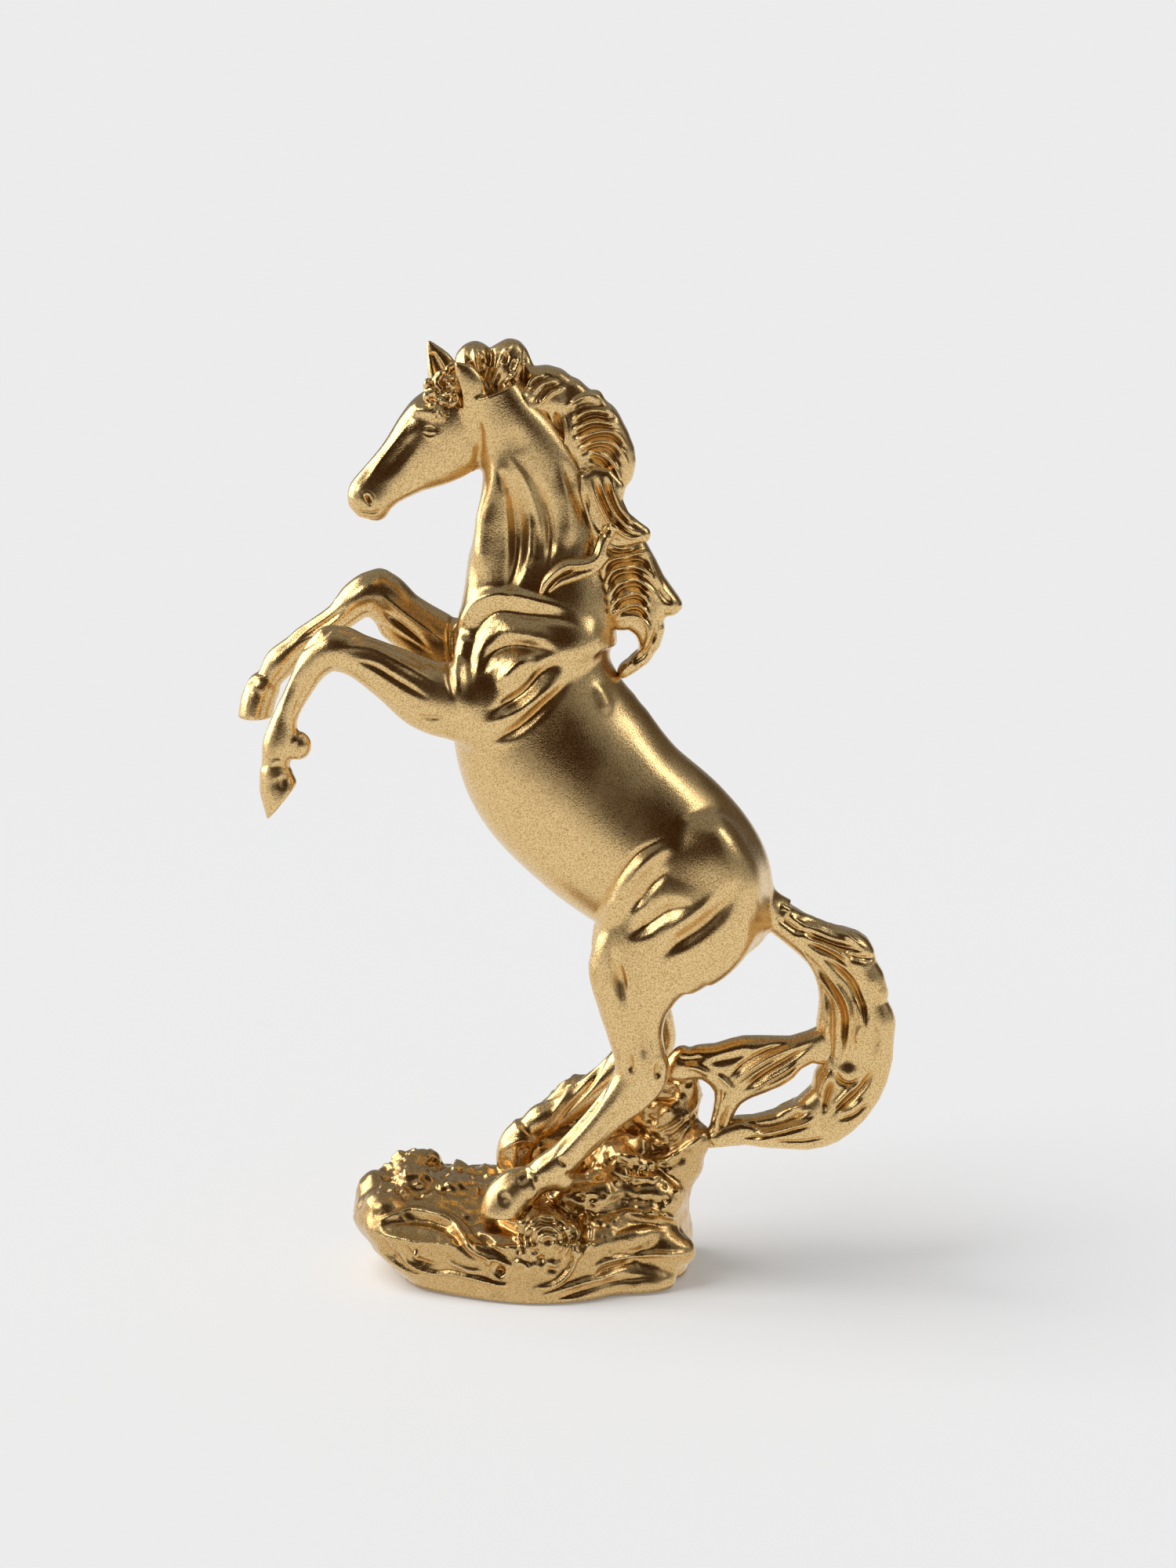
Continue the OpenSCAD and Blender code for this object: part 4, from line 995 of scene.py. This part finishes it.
ROCK_STROKES = [
    ([(-49, 20), (-42, 22.5), (-35, 23.5), (-28, 23), (-24, 22), (-20, 19.6), (-16, 15.6), (-12, 13.4), (-8,
     12.4), (-3, 10.2), (0, 7)], 1.5, 0.8),
    ([(-47, 18.6), (-42, 20.6), (-35, 21.4), (-28, 21), (-22, 18.6), (-17, 13.8), (-11, 11.4)], -1.2, 1.0),
    ([(-30, 25.4), (-22, 24), (-15, 19.4), (-9, 15.6), (-3, 13)], -1.4, 1.2),
    ([(-24, 24.6), (-17, 20), (-10, 15.6)], 0.7, 0.6),
    ([(-47, 16), (-45.4, 11), (-41, 7.8), (-35.4, 5.4), (-28, 4.2)], 1.4, 0.8),
    ([(-45.4, 17), (-43, 12), (-38.6, 9.2)], -1.0, 0.8),
    ([(-40, 17.6), (-39, 12), (-36, 8.4), (-29, 6.4), (-22, 7), (-15, 6), (-6, 4.2), (-4, 9)], 1.3, 0.7),
    ([(-37.6, 17), (-36.6, 12.6), (-33, 10), (-26, 9)], -1.0, 1.0), ([(-35, 12.4), (-33, 12.4)], 1.8, 1.2),
    ([(-26, 12), (-19, 9), (-12, 8)], 0.6, 0.8), ([(-12, 12), (-10, 11)], 1.6, 1.0),
    ([(-9, 9.4), (-5.6, 8)], -1.8, 1.3), ([(-4, 11.6), (0, 12), (3, 9)], 1.0, 1.0),
    ([(13, 27), (16.6, 23), (16.8, 16), (14.6, 9), (9, 4.6), (2, 4)], 1.6, 0.8),
    ([(15.4, 25), (18.6, 20), (18.4, 13)], -1.5, 0.9), ([(19, 27), (21, 20), (19.4, 13.6)], 1.0, 0.8),
    ([(20, 8.4), (26, 11), (32, 11.4), (43, 11), (54, 10.4)], 1.6, 0.9),
    ([(21, 6.4), (28, 8.4), (36, 8.2)], -1.1, 0.8), ([(5, 1), (14, 4), (22, 5.6), (33, 6.6)], 1.4, 0.8),
    ([(8, -0.6), (18, 2.2), (30, 3.8), (44, 4)], -0.8, 0.9),
    ([(26, 19.6), (29, 22.6), (35, 23.6), (42, 23.2), (47, 20.6), (50, 16)], 1.7, 0.9),
    ([(27.6, 18), (32, 20.8), (40, 20.8), (46, 17.6)], -1.4, 1.1),
    ([(24, 27), (34, 28), (46, 27)], -0.8, 1.6),
    ([(22, 42), (26, 47), (31, 49), (36, 44.4), (42, 42), (47, 44), (52, 48.4), (58, 53)], 1.5, 0.9),
    ([(23, 40), (28, 45), (33, 44), (38, 40.4), (44, 40), (51, 44.6)], -1.5, 0.9),
    ([(34, 39), (40, 37), (46, 37.4), (53, 43), (59, 48)], 1.3, 0.9),
    ([(28, 36), (36, 33.6), (46, 33)], 1.2, 1.0), ([(30, 40), (34, 36), (33, 31)], -1.6, 1.0),
    ([(38, 46.6), (44, 47), (52, 52), (57, 56)], 1.1, 0.8),
    ([(36, 57), (42, 60.4), (48, 61), (54, 63.6)], 1.4, 0.9), ([(35, 55), (42, 57.4), (50, 57)], -1.5, 1.1),
    ([(38, 64), (44, 67), (50, 67.6)], 1.2, 0.9), ([(-13, 29), (-5, 25.6), (2, 25)], -1.1, 1.0),
    ([(-28, 27.6), (-20, 28.6), (-12, 29)], 1.0, 1.2),
]
BACK_LOBE_STROKES = [
    ([(14, 70), (8, 63), (2, 54), (-4, 47)], -1.1, 0.8), ([(17, 67), (11, 60), (5, 52)], 1.0, 0.9),
    ([(0, 57), (6, 61), (12, 67)], 0.8, 0.8), ([(-8, 47), (-3, 51), (3, 54)], -1.0, 0.8),
]


def round_points(outline, count=120):
    """The outline resampled at even angles about the origin."""
    closed = smooth_line([[x, y, 0] for x, y in outline + outline[:3]], 1.0)[:, :2]
    angle = np.arctan2(closed[:, 1], closed[:, 0])
    order = np.argsort(angle)
    turns = np.linspace(-np.pi, np.pi, count, endpoint=False)
    reach = np.interp(turns, angle[order], np.linalg.norm(closed, axis=1)[order], period=2 * np.pi)
    return np.stack([reach * np.cos(turns), reach * np.sin(turns)], -1)


def mound():
    """The body of the rock: undercut at its foot, widest at its brow and rounded in above."""
    foot, brow = round_points(FOOT_OUTLINE), round_points(BROW_OUTLINE)
    rings = []
    for z, share, scale in MOUND_LEVELS:
        ring = (foot + share * (brow - foot)) * scale
        rings.append(np.insert(ring, 2, z + (BACK_RISE * ring[:, 1] if z > TILTED_ABOVE else 0), axis=1))
    ends = [[0, 0, level[0]] for level in (MOUND_LEVELS[0], MOUND_LEVELS[-1])]
    return np.vstack(rings + ends), grid_faces(len(rings), len(foot))


def rock_base():
    clay = Clay(*ROCK_BOX, 0.55)
    clay.add(mound(), 0.5)
    for centre, radii, lean in ROCKS:
        clay.add(lump(centre, radii, lean), 3.5)
    half_space_cut(clay, (0, 0, ROCK_FOOT), (0, 0, -1), *ROCK_BOX, 0.5)
    verts, quads = smooth_mesh(clay, 5)
    for _ in range(2):
        verts = relax(verts, quads, 3, 0.6)
    tool = Tool(verts, quads)
    up = fade_in(tool.verts[:, 2], 1.5, 3)
    tool.lift += up * (0.7 * rough(tool.verts, 9, 3) + 0.35 * rough(tool.verts, 4.2, 4))
    tool.settle()
    tool.lay(ROCK_STROKES, 9, [NEAR], 0.3)
    for line, height, width in ROCK_STROKES:
        tool.stroke([(-x, z - 3) for x, z in line], height, 1.6 * width, FAR)
    back = fade_in(tool.verts[:, 1], 22, 6)
    tool.lift -= up * back * 2.2 * np.abs(rough(tool.verts, 11, 6))
    tool.lay(BACK_LOBE_STROKES, -20, [NEAR], 0.3)
    for r in SWIRL_RADII:
        turn = np.linspace(-0.9, 3.9, 16)
        swirl = zip(SWIRL_CENTRE[0] + r * np.cos(turn), SWIRL_CENTRE[1] + 1.1 * r * np.sin(turn))
        tool.stroke(out_to(swirl, 9), 1.5, 0.6, NEAR, taper=0.15)
    tool.settle()
    crumble(tool)
    tool.verts[:, 2] = np.maximum(tool.verts[:, 2], LOWEST)
    return tool.verts, tool.quads


CRUMBS = [
    # low corner, high corner, how many crumbs
    ((16, -22, 26), (50, 14, 48), 130), ((-46, -8, 26), (-8, 22, 42), 170),
    ((-2, -30, 12), (18, -18, 28), 50), ((18, -22, 12), (30, -8, 24), 30), ((34, -8, 48), (58, 14, 70), 40),
    ((-6, 10, 36), (24, 26, 66), 12),
]
CRUMB_REACH, CRUMB_RADII, CRUMB_HEIGHTS = 3, (0.7, 1.5), (0.4, 0.8)


def crumble(tool):
    """Small seeded lumps and pits over the rough parts of the rock."""
    rng = np.random.default_rng(11)
    for low, high, count in CRUMBS:
        for centre in rng.uniform(low, high, (count * 3, 3)):
            d2 = ((tool.verts - centre) ** 2).sum(1)
            nearest = int(d2.argmin())
            if d2[nearest] > CRUMB_REACH**2:
                continue
            radius = rng.uniform(*CRUMB_RADII)
            height = rng.uniform(*CRUMB_HEIGHTS) * (1 if rng.random() < 0.6 else -1.2)
            d2 = ((tool.verts - tool.verts[nearest]) ** 2).sum(1)
            near = d2 < 9 * radius**2
            tool.lift[near] += height * np.exp(-d2[near] / radius**2)
    up = fade_in(tool.verts[:, 2], 2, 3)
    tool.lift = np.clip(tool.lift, -1.5, 1.4) * up + 0.1 * up * rough(tool.verts, 1.6, 8)
    tool.settle()


# ---- Camera, floor and light ---------------------------------------------------------------------

CAMERA_AIM = (0.0204, 0.0, 0.16096)
CAMERA_DISTANCE = 1.1546
CAMERA_TILT = math.radians(12)
BACKDROP = (0.84, 0.84, 0.84)
BACKDROP_RADIUS = 5.5
FLOOR_GLOW = 0.148
FLOOR_FADE = (0.35, 0.9)
SKY = (0.27, 0.272, 0.276)
FLOOR_SIZE = 12


def put(name, data, place=(0, 0, 0), aim=None):
    """A new object at place, with its -Z turned towards aim where there is one."""
    thing = bpy.data.objects.new(name, data)
    thing.location = place
    if aim:
        thing.rotation_euler = (Vector(aim) - Vector(place)).to_track_quat("-Z", "Y").to_euler()
    bpy.context.scene.collection.objects.link(thing)
    return thing


def place_camera():
    data = bpy.data.cameras.new("camera")
    data.lens, data.sensor_width = 85, 36
    away = Vector((0, -math.cos(CAMERA_TILT), math.sin(CAMERA_TILT)))
    camera = put("camera", data, Vector(CAMERA_AIM) + CAMERA_DISTANCE * away)
    camera.rotation_euler = (math.pi / 2 - CAMERA_TILT, 0, 0)
    bpy.context.scene.camera = camera


def area_light(name, place, aim, size, watts):
    data = bpy.data.lights.new(name, "AREA")
    data.shape, data.size, data.size_y, data.energy = "RECTANGLE", *size, watts
    light = put(name, data, place, aim)
    light.visible_camera = light.visible_diffuse = False


def sun_light(name, way, strength, spread):
    data = bpy.data.lights.new(name, "SUN")
    data.energy, data.angle = strength, math.radians(spread)
    put(name, data, aim=way).visible_glossy = False


def sheet(name, width, height, material):
    """A flat rectangle about its own middle, facing +Z."""
    w, h = width / 2, height / 2
    mesh = bpy.data.meshes.new(name)
    mesh.from_pydata([(-w, -h, 0), (w, -h, 0), (w, h, 0), (-w, h, 0)], [], [(0, 1, 2, 3)])
    mesh.materials.append(material)
    return mesh


def flag(name, place, aim, size, colour):
    """A matt card that only reflections see, as a studio's black or grey flag."""
    card = put(name, sheet(name, *size, glow(name, colour)), place, aim)
    card.visible_camera = card.visible_shadow = card.visible_diffuse = False


def dome():
    """A pale backdrop all round, which only the camera sees."""
    turns, levels, radius = 64, 12, BACKDROP_RADIUS
    around = [2 * math.pi * j / turns for j in range(turns)]
    verts = []
    for e in [math.pi / 2 * i / levels for i in range(levels)]:
        out, z = radius * math.cos(e), radius * math.sin(e) - 0.05
        verts += [(out * math.cos(a), out * math.sin(a), z) for a in around]
    verts.append((0, 0, radius))
    neighbours = [(j, (j + 1) % turns) for j in range(turns)]
    faces = [(i * turns + j, i * turns + k, (i + 1) * turns + k, (i + 1) * turns + j)
             for i in range(levels - 1) for j, k in neighbours]
    top = (levels - 1) * turns
    faces += [(top + j, top + k, len(verts) - 1) for j, k in neighbours]
    mesh = bpy.data.meshes.new("backdrop")
    mesh.from_pydata(verts, [], faces)
    mesh.materials.append(glow("pale_backdrop", BACKDROP))
    backdrop = put("backdrop", mesh)
    backdrop.visible_glossy = backdrop.visible_diffuse = backdrop.visible_shadow = False


def studio():
    scene = bpy.context.scene
    scene.view_settings.view_transform = "Standard"
    scene.world = bpy.data.worlds.new("studio")
    scene.world.use_nodes = True
    scene.world.node_tree.nodes["Background"].inputs["Color"].default_value = (*SKY, 1)
    floor = put("floor", sheet("floor", FLOOR_SIZE, FLOOR_SIZE, pale_floor()))
    dome()
    sun_light("soft_sun", (1, 0.16, -1.5), 2.0, 46)
    area_light("key", (-1.25, 0.35, 0.7), (0, 0, 0.2), (1.5, 1.1), 18)
    area_light("front_left", (-1.1, -0.75, 1.0), (0, 0, 0.2), (0.4, 0.5), 3)
    area_light("side", (1.09, -0.21, 1.0), (0, 0, 0.16), (0.3, 0.7), 2.2)
    flag("dark_behind_camera", (0, -1.7, 1.34), (0, 0, 1.34), (3.4, 2.6), (0.045, 0.022, 0.008))
    flag("dim_right", (1.9, 1.5, 0.9), (0, 0, 0.5), (2.2, 2.0), (0.11, 0.085, 0.06))
    flag("white_floor", (0, 0.4, 0.002), (0, 0.4, 1), (3.4, 2.0), (0.9, 0.9, 0.9))


# ---- Materials -----------------------------------------------------------------------------------

class Finish:
    """A node material. Inputs are given by name or number, as values or as outputs to link."""

    def __init__(self, name, inputs):
        self.material = bpy.data.materials.new(name)
        self.material.use_nodes = True
        self.tree = self.material.node_tree
        self.shader = self.tree.nodes["Principled BSDF"]
        self.feed(self.shader, inputs)

    def feed(self, node, inputs):
        for key, value in inputs.items():
            if isinstance(value, bpy.types.NodeSocket):
                self.tree.links.new(value, node.inputs[key])
            else:
                node.inputs[key].default_value = value

    def node(self, kind, inputs, output, **settings):
        node = self.tree.nodes.new(kind)
        for key, value in settings.items():
            setattr(node, key, value)
        self.feed(node, inputs)
        return node.outputs[output]

    def noise(self, scale, **detail):
        place = self.node("ShaderNodeTexCoord", {}, "Object")
        return self.node("ShaderNodeTexNoise", {"Vector": place, "Scale": scale, **detail}, "Fac")

    def range(self, value, given, wanted=(0, 1), **settings):
        ends = {"From Min": given[0], "From Max": given[1], "To Min": wanted[0], "To Max": wanted[1]}
        return self.node("ShaderNodeMapRange", {"Value": value, **ends}, "Result", **settings)

    def ramp(self, factor, stops):
        node = self.tree.nodes.new("ShaderNodeValToRGB")
        for element, (position, colour) in zip(node.color_ramp.elements, stops):
            element.position, element.color = position, (*colour, 1)
        self.feed(node, {"Fac": factor})
        return node.outputs["Color"]

    def surface(self, shader):
        self.feed(self.tree.nodes["Material Output"], {"Surface": shader})
        return self.material


def glow(name, colour):
    finish = Finish(name, {})
    return finish.surface(finish.node("ShaderNodeEmission", {"Color": (*colour, 1)}, 0))


def pale_floor():
    """Pale paper that fades into the backdrop's own brightness away from the statuette."""
    paper = {"Base Color": (*BACKDROP, 1), "Roughness": 0.8, "Specular IOR Level": 0.1,
             "Emission Color": (1, 1, 1, 1), "Emission Strength": FLOOR_GLOW}
    finish = Finish("pale_floor", paper)
    far = finish.node("ShaderNodeEmission", {"Color": (*BACKDROP, 1)}, 0)
    place = finish.node("ShaderNodeTexCoord", {}, "Object")
    length = finish.node("ShaderNodeVectorMath", {0: place}, "Value", operation="LENGTH")
    fade = finish.range(length, FLOOR_FADE, interpolation_type="SMOOTHSTEP")
    near = finish.shader.outputs[0]
    return finish.surface(finish.node("ShaderNodeMixShader", {"Fac": fade, 1: near, 2: far}, 0))


# The third colour is painted shade: the darker, more orange gold laid into creases and hollows in place of
# the shade that falls there.
LEAF_GOLD, FLECK_GOLD, HOLLOW_SHADE_GOLD = (0.82, 0.595, 0.29), (0.5, 0.305, 0.1), (0.6, 0.31, 0.075)
FOIL_GRAIN, WEAR_PATCHES = 2100, 60


def gold_leaf(name, shade=1.0, hollow_shade_reach=0.5):
    """Leaf over a casting: pale bright gold with a fine foil grain, and painted shade in its hollows, where
    the gold turns darker and more orange.
    """
    leaf, fleck, deep = (tuple(shade * c for c in gold) for gold in (LEAF_GOLD, FLECK_GOLD, HOLLOW_SHADE_GOLD))
    finish = Finish(name, {"Metallic": 1})
    grain = finish.noise(FOIL_GRAIN, Detail=3)
    wear = finish.noise(WEAR_PATCHES, Detail=4)
    foil = finish.ramp(grain, [(0.34, fleck), (0.56, leaf)])
    pointiness = finish.node("ShaderNodeNewGeometry", {}, "Pointiness")
    # Pointiness paints the shade: the more hollow the surface, the more its base colour turns to the darker
    # hollow gold.
    hollow_shade_mix = {"Factor": finish.range(pointiness, (0.42, hollow_shade_reach)), "A": (*deep, 1), "B": foil}
    foil_with_hollow_shade = finish.node("ShaderNodeMix", hollow_shade_mix, "Result", data_type="RGBA")
    dull = finish.range(wear, (0.35, 0.65), (0.18, 0.3))
    bump = finish.node("ShaderNodeBump", {"Strength": 0.28, "Distance": 0.0002, "Height": grain}, "Normal")
    finish.feed(finish.shader, {"Base Color": foil_with_hollow_shade, "Roughness": dull, "Normal": bump})
    return finish.material


def plain_metal(name, colour, roughness):
    """Metal with a fine brushed variation of its roughness."""
    finish = Finish(name, {"Metallic": 1, "Base Color": (*colour, 1)})
    brushed = finish.range(finish.noise(900), (0, 1), (roughness - 0.1, roughness + 0.1))
    finish.feed(finish.shader, {"Roughness": brushed})
    return finish.material


def felt():
    """Black felt with a pale fibre in it."""
    finish = Finish("felt", {"Roughness": 0.95, "Sheen Weight": 0.3})
    fibres = finish.noise(2500, Detail=4)
    colour = finish.ramp(fibres, [(0.35, (0.012, 0.012, 0.014)), (0.65, (0.05, 0.05, 0.055))])
    finish.feed(finish.shader, {"Base Color": colour})
    return finish.material


# ---- Build ---------------------------------------------------------------------------------------

place_camera()
studio()
GOLD, ROCK_GOLD = gold_leaf("gold_leaf"), gold_leaf("gold_leaf_on_rock", 0.86, 0.53)
STEEL = plain_metal("brushed_steel", (0.56, 0.57, 0.58), 0.35)
FELT = felt()
for name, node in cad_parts.items():
    node.data.materials.clear()
    steel = any(word in name for word in ("dowel", "pin", "stud"))
    node.data.materials.append(FELT if name == "felt_pad" else STEEL if steel else GOLD)

horse = tool_body(Tool(*smooth_mesh(horse_clay())))
head = head_skin()
HORSE_PARTS = {"torso": TORSO_PART, "neck": NECK_PART, "left_foreleg": NEAR_FORE, "right_foreleg": FAR_FORE,
               "left_hind_leg": NEAR_HIND, "right_hind_leg": FAR_HIND}
for (verts, quads), parts in ((horse, HORSE_PARTS), (head, {"head": HEAD_PART})):
    label = which_casting(verts[quads].mean(1))
    verts = snap_to_planes(verts, quads, label)
    for node, part in parts.items():
        cast(node, *take(verts, quads, label == part), GOLD)
for shape in (forelock, mane_crest, mane_side_lock, mane_lower_lock, tail_plume, tail_strand, rock_base):
    cast(shape.__name__, *shape(), ROCK_GOLD if shape is rock_base else GOLD)
